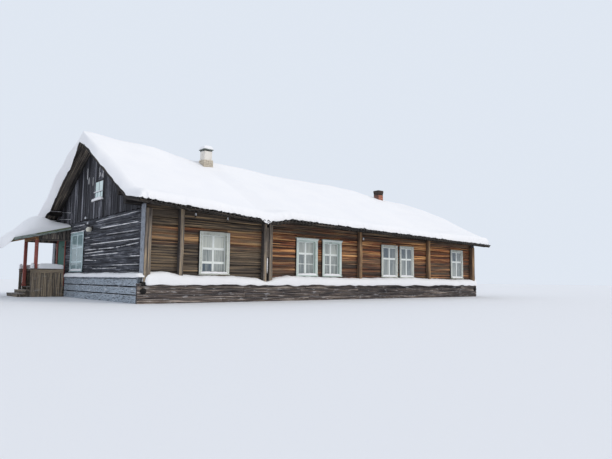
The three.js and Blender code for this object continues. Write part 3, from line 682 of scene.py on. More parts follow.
def blanket(columns, rows, shape):
    """A closed sheet of snow: two grids that a function places by their two shares and their layer."""
    part = bmesh.new()
    bmesh.ops.create_grid(part, x_segments=columns, y_segments=rows, size=0.5)
    bottom = set(part.verts)
    bmesh.ops.extrude_face_region(part, geom=part.faces[:])
    for vert in part.verts:
        vert.co = shape(vert.co.x + 0.5, vert.co.y + 0.5, vert not in bottom)
    bmesh.ops.recalc_face_normals(part, faces=part.faces)
    return part


def rim_spread(share, wide, lip):
    """Place a row between two rims, with rows gathered near both of them."""
    if share < RIM_SHARE:
        return lip * (1 - math.cos(share / RIM_SHARE * math.pi / 2))
    if share > 1 - RIM_SHARE:
        return wide - rim_spread(1 - share, wide, lip)
    return lip + (wide - 2 * lip) * (share - RIM_SHARE) / (1 - 2 * RIM_SHARE)


def rim_height(distance, lip):
    """How much of its depth the snow has at a distance from its rim."""
    return math.sqrt(1 - (1 - limit(distance / lip)) ** 2)


print("rim of the snow, halfway up its lip:", round(rim_height(0.5 * SNOW_LIP, SNOW_LIP), 3))

# %% [markdown]
# How deep the snow lies was read off its ridge line and its far edge, so two tables hold it. Between
# them the depth changes slowly, as snow that wind has levelled does. A displacement texture could do
# this too, but a function can also roll the edge over and let a tongue hang from the eave.

# %% Roof snow
def snow_depth(x, y, far):
    """Depth of the snow at a place, before its rims are rounded."""
    crest = between(RIDGE_SNOW, x) - cover_top(x, MIDDLE)
    depth = SLOPE_DEPTH + (crest - SLOPE_DEPTH) * (1 - min(1.0, abs(y - MIDDLE) / MIDDLE)) ** 2
    depth += (between(FAR_DEPTH, min(y, WIDTH - y)) - depth) * far
    for heap_x, heap_y, high in HEAPS:
        depth += high * math.exp(-((x - heap_x) ** 2 + (y - heap_y) ** 2) / 0.2)
    return depth + waver(x * 0.33, y * 0.4, 3.1) * 0.05 + waver(x * 1.1, y * 0.9, 7.7) * 0.022


def roll_over(x, y, from_verge, top):
    """Place in the snow's rolled edge along the back slope's near verge: over the board and down."""
    inside = 1 - from_verge / VERGE_LIP
    droop = between(DROOP, y) * (1 + 0.3 * waver(y * 1.2, 3.0) + 0.2 * waver(y * 5.0, 8.0))
    if not top:
        return x - ROLL_CLEAR * inside, SEAM - droop * max(0.0, inside - 0.72) / 0.28
    out = VERGE_LIP + ROLL_OUT * (0.9 + 0.04 * (y - MIDDLE) + 0.4 * waver(y, 5.5))
    widest = math.pi / 2 / ROLL_TURN
    across = out * math.sin(inside * ROLL_TURN) if inside < widest else (
        out - (out - VERGE_LIP - ROLL_CLEAR) * (inside - widest) / (1 - widest))
    high = (ROLL_DEPTH + droop) / (1 - math.cos(ROLL_TURN))
    return x + VERGE_LIP * inside - across, ROLL_DEPTH - high + high * math.cos(inside * ROLL_TURN)


def roof_snow_place(along, across, top):
    """Where a point of the roof's snow lies."""
    x_low, x_wide = -VERGE_OUT - SNOW_PAST, LENGTH + VERGE_OUT + FAR_VERGE_OUT + 2 * SNOW_PAST
    y_low, y_wide = -EAVE_OUT + SNOW_BACK, WIDTH + 2 * EAVE_OUT - 2 * SNOW_BACK
    x = x_low + rim_spread(along, x_wide, VERGE_LIP)
    y = y_low + rim_spread(across, y_wide, SNOW_LIP)
    from_eave, from_verge = min(y - y_low, y_low + y_wide - y), min(x - x_low, x_low + x_wide - x)
    near, back = x < MIDDLE, y > MIDDLE
    cover = cover_top(x, y)
    far = limit((x - 14.5) / 3.5)
    z = cover + SEAM
    if top:
        lip = 0.13 + 0.24 * limit((MIDDLE - y) / 2.0) + 0.12 * waver(x, y * 1.3, 4.4) if near else 0.2
        soft = 1 - (1 - limit(from_verge / lip)) ** 2.2
        z += LEAST_SNOW + snow_depth(x, y, far) * rim_height(from_eave, SNOW_LIP - 0.12 * far) * soft
    verge = max(0.0, 1 - from_verge / RAGGED_RIM)
    z += verge * waver(y * 2.1, x, 5.0) * 0.05
    x += (-1 if near else 1) * verge * waver(y * 3.0, x, 9.0) * 0.04
    if near:
        hang = limit((y - MIDDLE - 0.05) / 0.9) * min(1.0, (y_low + y_wide - y) / 0.2 + 0.3)
        z -= verge * 0.13 * limit(1 - abs(y - MIDDLE) / 1.1)
        if from_verge < VERGE_LIP:
            rolled_x, rise = roll_over(x_low + from_verge, y, from_verge, top)
            x += (rolled_x - x) * hang
            z += (cover + rise - z) * hang
        elif top:
            z += (cover + ROLL_DEPTH - z) * max(0.0, 1 - (from_verge - VERGE_LIP) / 0.6) * hang
    eave = max(0.0, 1 - from_eave / RAGGED_RIM)
    ragged = waver(x * 2.3, y * 0.7, 1.0) * 0.03
    ragged += waver(x * 6, y * 3, 2.0) * 0.035
    ragged += waver(x * 15, y * 3, 6.0) * 0.035
    tongue = 0.0 if back else max(0.0, 1 - abs(x - TONGUE_X) / TONGUE_WIDE) ** 0.7 * TONGUE_LOW
    z += eave * (max(-0.012, ragged) - tongue)
    y += (1 if back else -1) * eave * (ragged * 0.5 + 0.3 * tongue)
    return x, y, z


piece = Piece(10)
piece.add(blanket(SNOW_ALONG, SNOW_ACROSS, roof_snow_place))
piece.finish("roof_snow", "snow", "roof_snow_front", "roof_snow_back", smooth=60)

# %% [markdown]
# Under the snow lie wave-shaped fibre sheets. Only their lower ends show, as a row of dark teeth
# under the white edge, so the waves are real: a grid is bent to a wave and given its thickness.
# Each sheet is shifted and tilted a little, as old sheets are, which makes the edge ragged.

# %% Corrugated covering
WAVE, WAVE_HIGH = 0.165, 0.030
SHEET_WIDE, SHEET_THICK, LAYER_LOW = 1.16, 0.016, 0.07


def make_sheets():
    """Both slopes of wave-shaped sheets in one piece, with a lower layer along each eave."""
    piece = Piece(11)
    for side, layer in ((FRONT, 0), (FRONT, 1), (BACK, 0), (BACK, 1)):
        reach = 0.9 if layer else MIDDLE + EAVE_OUT
        for low, high in piece.lengths(-VERGE_OUT, LENGTH + FAR_VERGE_OUT, SHEET_WIDE, SHEET_WIDE):
            out = piece.pick(-0.03, 0.02) - 0.02 * layer
            lift = piece.pick(-0.014, 0.004) - LAYER_LOW * layer
            part = bmesh.new()
            steps = round((high - low) / WAVE * 6)
            bmesh.ops.create_grid(part, x_segments=steps, y_segments=8, size=0.5)
            for vert in part.verts:
                x, share = low + (vert.co.x + 0.5) * (high - low), (vert.co.y + 0.5) ** 2
                y = -EAVE_OUT - out + share * (reach + out)
                chip = waver(x * 5, layer * 7.0, 4.0) * 0.05 + waver(x * 23, layer, 1.0) * 0.03
                wave = math.cos(x / WAVE * 2 * math.pi) * WAVE_HIGH
                z = cover_top(x, y) - 0.03 + wave + lift * (1 - share) - 0.03 * layer * share
                vert.co = (x, y + chip * (share < 0.001), z)
            bmesh.ops.solidify(part, geom=part.faces[:], thickness=SHEET_THICK)
            piece.add(part, (0.35, 0.6), side)
    piece.finish("roof_sheets", "roof sheet", "roof_front", "roof_back", smooth=50)


make_sheets()

# %% [markdown]
# What carries the sheets shows under the eaves and at the verges: rafter tails, laths along the
# eave, and boards that close the underside of the verge along the slope. Straight boards would cut
# through the sagging roof, so each is cut across and its points follow the roof's own lines.

# %% Eaves and verges
RAFTERS, SOFFIT_STEP = 19, 0.135
PURLINS = (0.2, 0.8)


def round_bar(sides, cuts, *size):
    """A closed bar along X, cut across; its length and radii are 1 unless a size is given."""
    part = cut_across(rod(1, 1, ALONG_X, sides), cuts)
    if size:
        bmesh.ops.scale(part, vec=size, verts=part.verts)
    return part


def make_roof_timber():
    """Laths along the eaves, and rafter tails."""
    piece = Piece(12)
    for side in (FRONT, BACK):
        for y, thick in ((-0.93, 0.05), (-0.66, 0.025), (-0.38, 0.025), (-0.1, 0.025)):
            for low, high in piece.lengths(-VERGE_OUT + 0.02, LENGTH + FAR_VERGE_OUT - 0.02, 3.2, 4.6):
                part = stick(high - low - 0.01, 0.11, thick, 0.004, 6, 0.006, piece.chance)
                for vert in part.verts:
                    along, across = (low + high) / 2 + vert.co.x, y + vert.co.y
                    vert.co = (along, across, vert.co.z + cover_top(along, across) - 0.058 - thick / 2)
                piece.add(part, (0.25, 0.7), side)
        posts = sum(WALL_POSTS, ()) if side is FRONT else ()
        for i in range(RAFTERS):
            x = 0.12 + i * (LENGTH - 0.24) / (RAFTERS - 1)
            if any(low - 0.08 < x < high + 0.08 for low, high in posts):
                x += 0.26
            slope = Matrix.Rotation(-math.atan2(KICK_RISE, EAVE_OUT), 4, "Y")
            piece.add(stick(0.86, 0.06, 0.07, 0.005, 2, 0.004, piece.chance), (0.2, 0.5),
                      side @ shift(x, -0.47, cover_top(x, -0.5) - 0.125) @ ALONG_Y @ slope)
    piece.finish("eave_timber", "eave wood")


def add_strip(piece, side, x_low, x_high, drop, thick, tone):
    """Add a board along the slope from the eave to the ridge, bent at the kick over the wall."""
    for y_low, y_high, cuts in ((-0.98, 0.0, 2), (0.0, MIDDLE - 0.004, 8)):
        part = stick(y_high - y_low, x_high - x_low, thick, 0.004, cuts, 0.004, piece.chance)
        for vert in part.verts:
            along, across = (y_low + y_high) / 2 + vert.co.x, (x_low + x_high) / 2 + vert.co.y
            vert.co = (along, across, cover_top(across, along) - drop - thick / 2 + vert.co.z)
        piece.add(part, tone, side @ GABLE)


def make_verges():
    """Soffit boards and edge boards along both slopes at both gables, and the near purlins' ends."""
    boards, edges, purlins = pieces(13, 3)
    near, far = -VERGE_OUT, LENGTH + FAR_VERGE_OUT
    for side in (FRONT, BACK):
        for i in range(4):
            low, high = (near + edge + i * SOFFIT_STEP for edge in (0.012, 0.139))
            add_strip(boards, side, low, high, 0.083 + 0.004 * (i % 2), 0.022, (0.2, 0.75))
        for low in (LENGTH + 0.024, LENGTH + 0.134):
            add_strip(boards, side, low, low + 0.1, 0.083, 0.022, (0.3, 0.6))
        for x in (near, far):
            add_strip(edges, side, *about(x, 0.012), 0.03, 0.10, 0.4)
        for y in PURLINS:
            purlins.add(round_bar(16, 2, 0.55, 0.115, 0.115), 0.2,
                        side @ shift(-0.29, y, cover_top(-0.3, y) - 0.228))
    boards.finish("verge_boards", "soffit wood")
    edges.finish("verge_edge_boards", "dark wood")
    purlins.finish("purlin_ends", "dark wood", smooth=40)


make_roof_timber()
make_verges()

# %% [markdown]
# The walls are laid log by log. A log is a cylinder along X with its section squeezed to the
# flattened oval of a hewn log, cut short where an opening interrupts it, and made uneven by slow
# noise. The openings are the ones the solids have.

# %% Logs
LOG_SIDES, LOG_STEP, JOINT_OVER = 16, 0.28, 0.006
OVAL_FACE, OVAL_TOP = 0.52, 0.62
DOOR_GAP = 0.056
DOOR_HOLE = (DOOR[0] - DOOR_GAP, DOOR[1] + DOOR_GAP, -1.0, DOOR[3] + DOOR_GAP)


def make_log(x_low, x_high, z_low, z_high, seed, top_line=None):
    """One log: rounded outside, uneven, its top straight or along a line."""
    part = round_bar(LOG_SIDES, max(1, round((x_high - x_low) / LOG_STEP)))
    middle, half = (z_low + z_high) / 2, (z_high - z_low) / 2 + JOINT_OVER
    for vert in part.verts:
        out, up = -vert.co.y, vert.co.z
        x = x_low + (vert.co.x + 0.5) * (x_high - x_low)
        grow = 0.035 * waver(x * 0.35, seed * 9.1, 0.5)
        y = WALL / 2 - math.copysign(abs(out) ** OVAL_FACE, out) * (WALL / 2 - 0.006)
        if out > 0:
            y -= waver(x * 1.3, up * 1.5 + seed * 3.7, out) * 0.0084 + grow * 0.1 + 0.006
        rise = math.copysign(abs(up) ** OVAL_TOP, up)
        z = middle + rise * half * (1 if top_line else 1 + grow)
        if top_line:
            z = z_low + (z - z_low) / (z_high - z_low) * (top_line(x) - z_low)
        vert.co = (x, max(y, -0.004), max(z, 0.002))
    return part


def cut_at(part, z, keep):
    """Keep what is above (1) or below (-1) a height and close the cut."""
    whole = part.verts[:] + part.edges[:] + part.faces[:]
    made = bmesh.ops.bisect_plane(part, geom=whole, plane_co=(0, 0, z), plane_no=(0, 0, -keep),
                                  clear_outer=True)
    rim = [item for item in made["geom_cut"] if isinstance(item, bmesh.types.BMEdge)]
    bmesh.ops.edgeloop_fill(part, edges=rim)


print("height of a course of logs:", COURSE)

# %% [markdown]
# Cutting the windows out of whole walls with a boolean would leave long thin faces. Each log is
# instead made only as long as it is: it ends at an opening, or is cut level above or below it.

# %% Log walls
def lay_logs(piece, x_low, x_high, courses, holes, tone_at):
    """Lay the courses of one wall between two ends, leaving the holes open."""
    for course in range(courses):
        z_low, z_high = course * COURSE, (course + 1) * COURSE
        seed, start, runs = piece.pick(0, 50), x_low, []
        for low, high, bottom, top in sorted(holes):
            if bottom >= z_high - 0.004 or top <= z_low + 0.004 or high <= x_low or low >= x_high:
                continue
            ends = (max(low, x_low), min(high, x_high))
            if low > start:
                runs.append((start, low, None, 0))
            if top < z_high - 0.02:
                runs.append((*ends, top, 1))
            if bottom > z_low + 0.02:
                runs.append((*ends, bottom, -1))
            start = high
        if start < x_high:
            runs.append((start, x_high, None, 0))
        for low, high, at, keep in runs:
            part = make_log(low, high, z_low, z_high, seed)
            if keep:
                cut_at(part, at, keep)
            piece.add(part, tone_at((low + high) / 2, (z_low + z_high) / 2) + piece.pick(-0.15, 0.15))


def hole(box, lap=LAP, foot=0.04):
    """The hole behind a window's casing."""
    return (box[0] + lap, box[1] - lap, box[2] + foot, box[3] - lap)


def front_tone_and_eave_shade(x, z):
    """Tones by height: palest near the heads of the windows and darker low down; darker under the eave as
    painted shade.
    """
    if x < 4.7:
        return 0.54 if z > 2.3 else 0.92 if z > 1.9 else 0.30
    return 0.46 if z > 2.55 else 0.62 if z > 2.2 else 0.42 if z > 1.6 else 0.22


def make_side_wall(name, place, windows, seed):
    """A long wall in bays between its posts, with a top log hewn to meet the roof."""
    piece = Piece(seed, place)
    cuts = [0.0, *(sum(post[0]) / 2 for post in WALL_POSTS), LENGTH]
    for low, high in zip(cuts, cuts[1:]):
        lay_logs(piece, low, high, SIDE_COURSES, [hole(window) for window in windows], front_tone_and_eave_shade)
        part = make_log(max(low, 0.05), min(high, LENGTH - 0.05), SIDE_TOP, SIDE_TOP + COURSE,
                        piece.pick(0, 50), lambda x: cover_top(x, 0.03) - COVER - 0.004)
        # The hewn top log under the eave gets a low tone: painted shade.
        piece.add(part, (0.25, 0.45))
    piece.finish(f"{name}_logs", "brown logs", f"{name}_wall_logs", smooth=45)


def make_gable_wall(name, place, courses, holes, nodes, seed):
    """A gable's logs between the side walls."""
    piece = Piece(seed, place)
    lay_logs(piece, WALL - 0.03, WIDTH - WALL + 0.03, courses, holes, lambda x, z: 0.42)
    piece.finish(name, "grey logs", *nodes, smooth=45)


make_side_wall("front", FRONT, FRONT_WINDOWS, 21)
make_side_wall("back", BACK, BACK_WINDOWS, 22)
make_gable_wall("gable_logs", GABLE, GABLE_COURSES, [hole(GABLE_WINDOW), DOOR_HOLE], (
    "gable_wall_logs", "gable_wall_over_door", "gable_wall_beside_door"), 23)
make_gable_wall("far_gable_logs", FAR, SIDE_COURSES, [hole(FAR_WINDOW)], ["far_gable_wall_logs"], 24)

# %% [markdown]
# Blown snow stays in the joints of the gables as thin uneven lines, and in short upright streaks on
# the boards. It could be painted on with a mask, but only a real bar casts its own small shadow. Each
# is a slim bar whose thickness swells, and fades at its ends.

# %% Snow in the joints
LOG_FACE, PLANK_FACE = 0.010, -0.024
# Both ends of a line along the gable, their heights and the line's thickness
JOINT_LINES = (
    (0.35, 4.48, 2.938, 2.878, 0.013), (0.23, 4.32, 2.596, 2.606, 0.020), (5.50, 6.91, 2.865, 2.870, 0.014),
    (0.22, 4.86, 2.047, 2.047, 0.020), (0.25, 2.30, 1.921, 1.837, 0.014), (2.30, 5.49, 1.837, 1.849, 0.020),
    (3.38, 5.47, 1.755, 1.713, 0.016), (1.77, 5.32, 1.642, 1.620, 0.020), (4.03, 5.43, 1.416, 1.466, 0.016),
    (0.21, 1.07, 1.502, 1.507, 0.018), (0.25, 2.60, 1.231, 1.228, 0.015), (0.30, 3.30, 2.33, 2.34, 0.010),
    (4.90, 5.50, 2.32, 2.32, 0.014), (2.0, 4.6, 1.13, 1.12, 0.012), (7.12, 7.75, 2.60, 2.60, 0.014),
    (7.25, 8.9, 3.20, 3.33, 0.010), (7.29, 8.5, 3.48, 3.60, 0.010))
# Where on the gable, from which height and up to which one
BOARD_STREAKS = (
    (4.10, 4.52, 4.95), (3.98, 4.55, 4.74), (3.80, 4.5, 4.68), (3.69, 4.46, 4.80), (5.41, 4.62, 5.10),
    (5.22, 4.4, 4.7), (4.76, 4.28, 4.66))


def snow_bar(x_low, x_high, y, z_low, z_high, deep, high, seed):
    """A thin line of snow along X, between two heights, that swells and fades."""
    part = round_bar(6, max(3, round((x_high - x_low) / 0.07)))
    for vert in part.verts:
        share = vert.co.x + 0.5
        x, z = x_low + share * (x_high - x_low), z_low + share * (z_high - z_low)
        swell = max(0.25, 0.85 + 0.6 * waver(x * 2.4, seed) + 0.4 * waver(x * 9, seed, 4.0))
        swell *= min(1.0, 12 * min(share, 1 - share) + 0.05)
        vert.co = (x, y + vert.co.y * deep * swell, z + vert.co.z * high * swell)
    return part


def make_joint_snow():
    """Lines of snow in the joints of both gables, on two beam ends and beside the double post."""
    piece = Piece(31)
    for low, high, z_low, z_high, thick in JOINT_LINES:
        face = LOG_FACE if z_low < GABLE_TOP else PLANK_FACE
        piece.add(snow_bar(low, high, face, z_low, z_high, 0.022, thick, piece.pick(0, 99)), at=GABLE)
    for y, low, high in BOARD_STREAKS:
        streak = snow_bar(low, high, 0, 0, 0, 0.012, 0.014, piece.pick(0, 99))
        piece.add(streak, at=GABLE @ shift(y, -0.026) @ UPRIGHT)
    left, right, bottom, top = FAR_WINDOW
    for z in (course * COURSE - 0.002 for course in range(4, SIDE_COURSES + 1)):
        for low, high in piece.lengths(0.24, 9.1, 0.5, 2.6):
            blocked = left - 0.02 < high and low < right + 0.02 and bottom < z < top
            if not blocked and piece.pick(0, 1) < 0.8:
                piece.add(snow_bar(low, high - 0.2, 0.014, z, z, 0.022, piece.pick(0.01, 0.02),
                                   piece.pick(0, 99)), at=FAR)
    for y in PURLINS:
        z = cover_top(-0.3, y) - 0.15
        piece.add(snow_bar(-0.56, -0.04, WIDTH - y - 0.085, z, z, 0.025, 0.02, 7.0))
    piece.add(snow_bar(1.0, 1.6, 0, 0, 0, 0.02, 0.025, 3.0), at=shift(4.745, -0.12) @ UPRIGHT)
    piece.finish("joint_snow", "snow", smooth=60)


make_joint_snow()

# %% [markdown]
# Above the logs the gables are closed with upright boards. Each board is its own, with its own
# width, tone and bend, and its top follows the slope of the roof. At the corners the log ends are
# boxed in: two bare boards and the box's side on the long wall, and a painted board on the gable.

# %% Gable boards and corner boards
BOX = (-0.2, -0.172)
CORNER_BOARDS = (((-0.034, 0.06), BOX), ((0.064, 0.185), BOX), ((0.157, 0.185), (BOX[1], -0.004)))


def make_gable_boards(name, place, at, base, opening, seed):
    """Upright boards from the logs to the roof."""
    piece = Piece(seed, place)
    for low, high in piece.lengths(0.006, WIDTH - 0.006, 0.115, 0.165):
        runs = [(base + piece.pick(-0.035, 0.02), lambda y: cover_top(at, y) - COVER - 0.03)]
        if opening and high > opening[0] and low < opening[1]:
            runs = [(runs[0][0], lambda y: opening[2]), (opening[3], runs[0][1])]
        face, slim = piece.pick(-0.023, -0.014), piece.pick(0.003, 0.009)
        for bottom, top_at in runs:
            tone = piece.pick(0.05, 0.9) * (0.7 if low < 3.6 else 1.0)
            piece.upright(low + slim, high - slim, bottom, top_at, face, tone)
    piece.finish(f"{name}_planks", "grey boards", f"{name}_boards")


def make_corner_boards():
    """Boxes of boards round the log ends of all four corners."""
    bare, warm, painted = pieces(43, 3)
    bottom, box = FRONT_LEDGE + 0.01, BOX[0]
    for long_side in (FRONT, BACK):
        for piece, flip in ((bare, 0), (warm, 1)):
            for ends, depth in CORNER_BOARDS:
                ends = sorted(LENGTH - x for x in ends) if flip else ends
                piece.board(ends, depth, (bottom, cover_top(ends[0], box) - 0.27), axis=Z,
                            at=long_side, tone=(0.4, 0.65), cuts=6, sway=0.006)
    for place, at in ((GABLE, 0.0), (FAR, LENGTH)):
        for ends in ((BOX[1], 0.13), (WIDTH - 0.13, WIDTH - BOX[1])):
            painted.board(ends, (-0.034, -0.006), (GABLE_LEDGE + 0.01, cover_top(at, box) - 0.13),
                          axis=Z, at=place, tone=0.5, cuts=6, sway=0.005)
    bare.finish("corner_boards", "post wood")
    warm.finish("far_corner_boards", "warm wood")
    painted.finish("painted_corner_boards", "corner paint")


make_gable_boards("gable", GABLE, 0.0, GABLE_TOP, hole(ATTIC_WINDOW, 0.012, 0.012), 41)
make_gable_boards("far_gable", FAR, LENGTH, SIDE_TOP, None, 42)
make_corner_boards()

# %% [markdown]
# The foot of the house is boxed in with level boards under a narrow ledge, and the round ends of the
# lowest logs stand out past the corners. One box with a pattern would do from far off, but joints
# between real boards hold shade and frost, so each board is laid by itself.

# %% Base boards
LONG_RUN = (-LEDGE_OUT, LENGTH + LEDGE_OUT, FRONT_LEDGE, 0.145, 0.007)
GABLE_ROWS = (GABLE_LEDGE, 0.26, 0.02)


def make_base(name, look, place, x_low, x_high, top, board_tall, gap, seed):
    """Level boards from the ground up to the ledge, studs behind them, then the ledge board."""
    piece = Piece(seed, place)
    under = top - LEDGE_BOARD
    rows = round(under / board_tall)
    tall = under / rows
    for row in range(rows):
        for low, high in piece.lengths(x_low, x_high, 2.6, 4.4):
            out = piece.pick(-BASE_OUT, 0.01 - BASE_OUT)
            piece.board(narrowed(low, high), (out, out + 0.028),
                        (row * tall + gap * (row > 0), (row + 1) * tall - gap), cuts=5, sway=0.005)
    count = round((x_high - x_low) / 1.4)
    for i in range(count + 1):
        x = x_low + 0.06 + i * (x_high - x_low - 0.12) / count
        piece.board(about(x, 0.04), (-BASE_OUT + 0.034, -0.01), (0.0, under - SEAM), axis=Z)
    for low, high in piece.lengths(x_low, x_high, 3.2, 4.8):
        piece.board((low, high - 0.003), (-LEDGE_OUT, -0.008), narrowed(under, top), cuts=4, sway=0.003)
    piece.finish(f"{name}_base", look, f"{name}_base_boards")


def make_log_ends():
    """The round ends of the lowest logs, which stand out past the corners of the gables."""
    piece = Piece(55)
    for side in (FRONT, BACK):
        for x in (-0.02, LENGTH + 0.02):
            for z, radius in ((0.61, 0.07), (0.39, 0.09)):
                piece.add(round_bar(18, 1, 0.2, radius, radius), 0.1,
                          side @ shift(x, -0.125, z) @ ALONG_Y)
    piece.finish("corner_log_ends", "dark wood", slot="brown_logs", smooth=40)


make_base("front", "base wood", FRONT, *LONG_RUN, 51)
make_base("back", "base wood", BACK, *LONG_RUN, 52)
make_base("gable", "base paint", GABLE, 0.004, GABLE_LEDGE_END, *GABLE_ROWS, 53)
make_base("far_gable", "base paint", FAR, 0.004, WIDTH - 0.004, *GABLE_ROWS, 54)
make_log_ends()

# %% [markdown]
# The snow on the ledge is a lumpy bank that leans on the wall, swells over the edge and sinks to
# nothing at its ends. A round bar with many rings is shaped for it, because its section changes all
# along, which one profile drawn along a path could not follow.

# %% Ledge snow
FRONT_BANK = (
    (-0.2, 0.93), (0.26, 0.99), (0.53, 1.0), (0.87, 0.98), (1.22, 0.905), (2.0, 0.895), (3.13, 0.905),
    (4.2, 0.87), (4.52, 0.78), (4.74, 0.72), (5.1, 0.85), (5.8, 0.94), (9.2, 0.89), (12.3, 0.93),
    (18.6, 0.88))


def snow_bank(x_low, x_high, ledge, tops, wide, seed, edge=LEDGE_OUT, droop=0.045):
    """A bank of snow along X on a ledge: uneven on top, swollen over the edge, round at its ends."""
    part = round_bar(24, max(4, round((x_high - x_low) / 0.05)))
    for vert in part.verts:
        out, up = -vert.co.y, vert.co.z
        x = x_low + (vert.co.x + 0.5) * (x_high - x_low)
        ends = rim_height(min(x - x_low, x_high - x) + 0.01, 0.16)
        crumbs = 0.012 * waver(x * 9, out * 4, seed)
        swells = 0.035 * waver(x * 0.9, seed)
        tall = between(tops, x) - ledge + swells + 0.02 * waver(x * 3.7, seed, 2.0) + crumbs
        y = -max(0.0, out) ** 0.8 if up >= 0 else -((out + 1) / 2) ** 0.8
        y *= (wide + 0.03 * waver(x * 1.9, seed, 5.0) + crumbs) * (0.55 + 0.45 * ends)
        z = up ** 0.62 * tall * ends if up >= 0 else (
            -droop * (1 + waver(x * 2.7, seed, 7.0)) * limit((-y - edge) / 0.03) * min(1.0, -up * 3))
        vert.co = (x, y - 0.002, ledge + z)
    bmesh.ops.recalc_face_normals(part, faces=part.faces)
    return part


def make_ledge_snow():
    """The bank round the house."""
    piece = Piece(56)
    for place, low, high, ledge, tops, wide, droop in (
            (FRONT, 0.0, LENGTH + LEDGE_OUT, FRONT_LEDGE, FRONT_BANK, 0.27, 0.045),
            (BACK, -LEDGE_OUT, LENGTH + LEDGE_OUT, FRONT_LEDGE, ((0, 0.88), (9, 0.93)), 0.26, 0.045),
            (GABLE, -LEDGE_OUT, GABLE_LEDGE_END, GABLE_LEDGE, ((0, 0.96),), 0.235, 0.015),
            (FAR, -LEDGE_OUT, WIDTH + LEDGE_OUT, GABLE_LEDGE, ((0, 0.96),), 0.24, 0.02)):
        piece.add(snow_bank(low, high, ledge, tops, wide, piece.pick(0, 99), droop=droop), at=place)
    piece.finish("ledge_bank", "snow", "ledge_snow", smooth=60)


make_ledge_snow()

# %% [markdown]
# Upright posts keep the old wall from bulging. The double one is bolted through the wall. Weather has
# rounded their corners and bent them a little, which a wide bevel and the slow noise give.

# %% Wall posts
def make_wall_posts():
    """The four posts of the front wall, and the bolts of the double one."""
    for number, pair in enumerate(WALL_POSTS, 1):
        piece = Piece(60 + number)
        for ends in pair:
            top = min(cover_top(x, -POST_DEEP) for x in ends) - COVER - 0.012
            front = -POST_DEEP + 0.03 * (number > 2)
            piece.board(ends, (front, -0.003), (FRONT_LEDGE + 0.003, top), axis=Z, tone=(0.5, 0.75),
                        bevel=0.012, cuts=9, sway=0.008)
        if len(pair) > 1:
            piece.board((4.70, 4.78), (-0.155, -0.13), (1.6, 2.7), axis=Z, tone=0.5, cuts=3, sway=0.004)
        look = "warm wood" if number > 2 else "post wood"
        piece.finish(f"wall_post_{number}", look, f"front_wall_post_{number}")
    bolts = Piece(65)
    for z in (1.1, 2.5):
        for x, radius, long in ((4.745, 0.011, 0.44), (4.532, 0.024, 0.018), (4.958, 0.024, 0.018)):
            bolts.add(rod(radius, long, ALONG_X, 6 if long < 0.1 else 10), at=shift(x, -0.08, z))
    bolts.finish("post_bolts", "iron")


make_wall_posts()

# %% [markdown]
# A window is a casing on the wall, a lining in the hole, and sashes with bars. A style names the rows
# from the top: their share of the height, the sashes across and the panes stacked in a sash, and
# then how light each sash's glass is. The glass of a sash is one thin slab that its bars cross. A thin
# dark strip at each side of the casing is painted shade along its edges, and snow lies on the sill.
# The first three windows of the front have their sashes deeper in the wall. The gable is seen so far
# from the side that its windows are built flat: slim casings, slim bars, and the glass close behind them.

# %% Window styles
STYLES = {
    "plain": (((0.36, 2, 1), (0.36, 2, 1), (0.28, 2, 1)), (0.85, 0.9, 0.45, 0.6, 0.05, 0.4)),
    "tall": (((0.37, 2, 1), (0.63, 2, 2)), (0.6, 0.75, 0.3, 0.45)),
    "vented": (((0.40, 2, 1), (0.60, 2, 1)), (0.1, 0.3, 0.4, 0.3)),
    "gable": (((0.37, 2, 1), (0.40, 2, 1), (0.23, 2, 1)), (0.65, 0.5, 0.45, 0.5, 0.3, 0.45)),
    "attic": (((0.58, 2, 2), (0.42, 3, 1)), (0.8, 0.6, 0.7, 0.9, 0.6))}
# The slot, and the looks of the frame, the sashes and the glass
WINDOW_COLORS = {
    "pale": ("pale_paint", "pale paint", "white paint", "pane glass"),
    "mint": ("pale_paint", "mint paint", "white paint", "pane glass"),
    "blue": ("blue_paint", "blue paint", "icy paint", "icy glass"),
    "dark": ("blue_paint", "dark wood", "grey logs", "frozen glass")}


class Shape:
    """The widths and thicknesses of a window's parts; some windows change some of them."""

    casing, foot, thick, lining, lap, cornice = 0.115, 0.055, 0.045, 0.03, LAP, 0.0
    rail, bar, deep, face, depth, inset = 0.04, 0.028, 0.032, 0.0, 0.14, -0.008

    def __init__(self, **changes):
        self.__dict__.update(changes)


print("window styles:", ", ".join(STYLES))

# %% [markdown]
# A window is built from the outside in, as a joiner does it: what the frame leaves free is the opening
# for the sashes. So the bars of every window meet its rails, and no size is given twice.

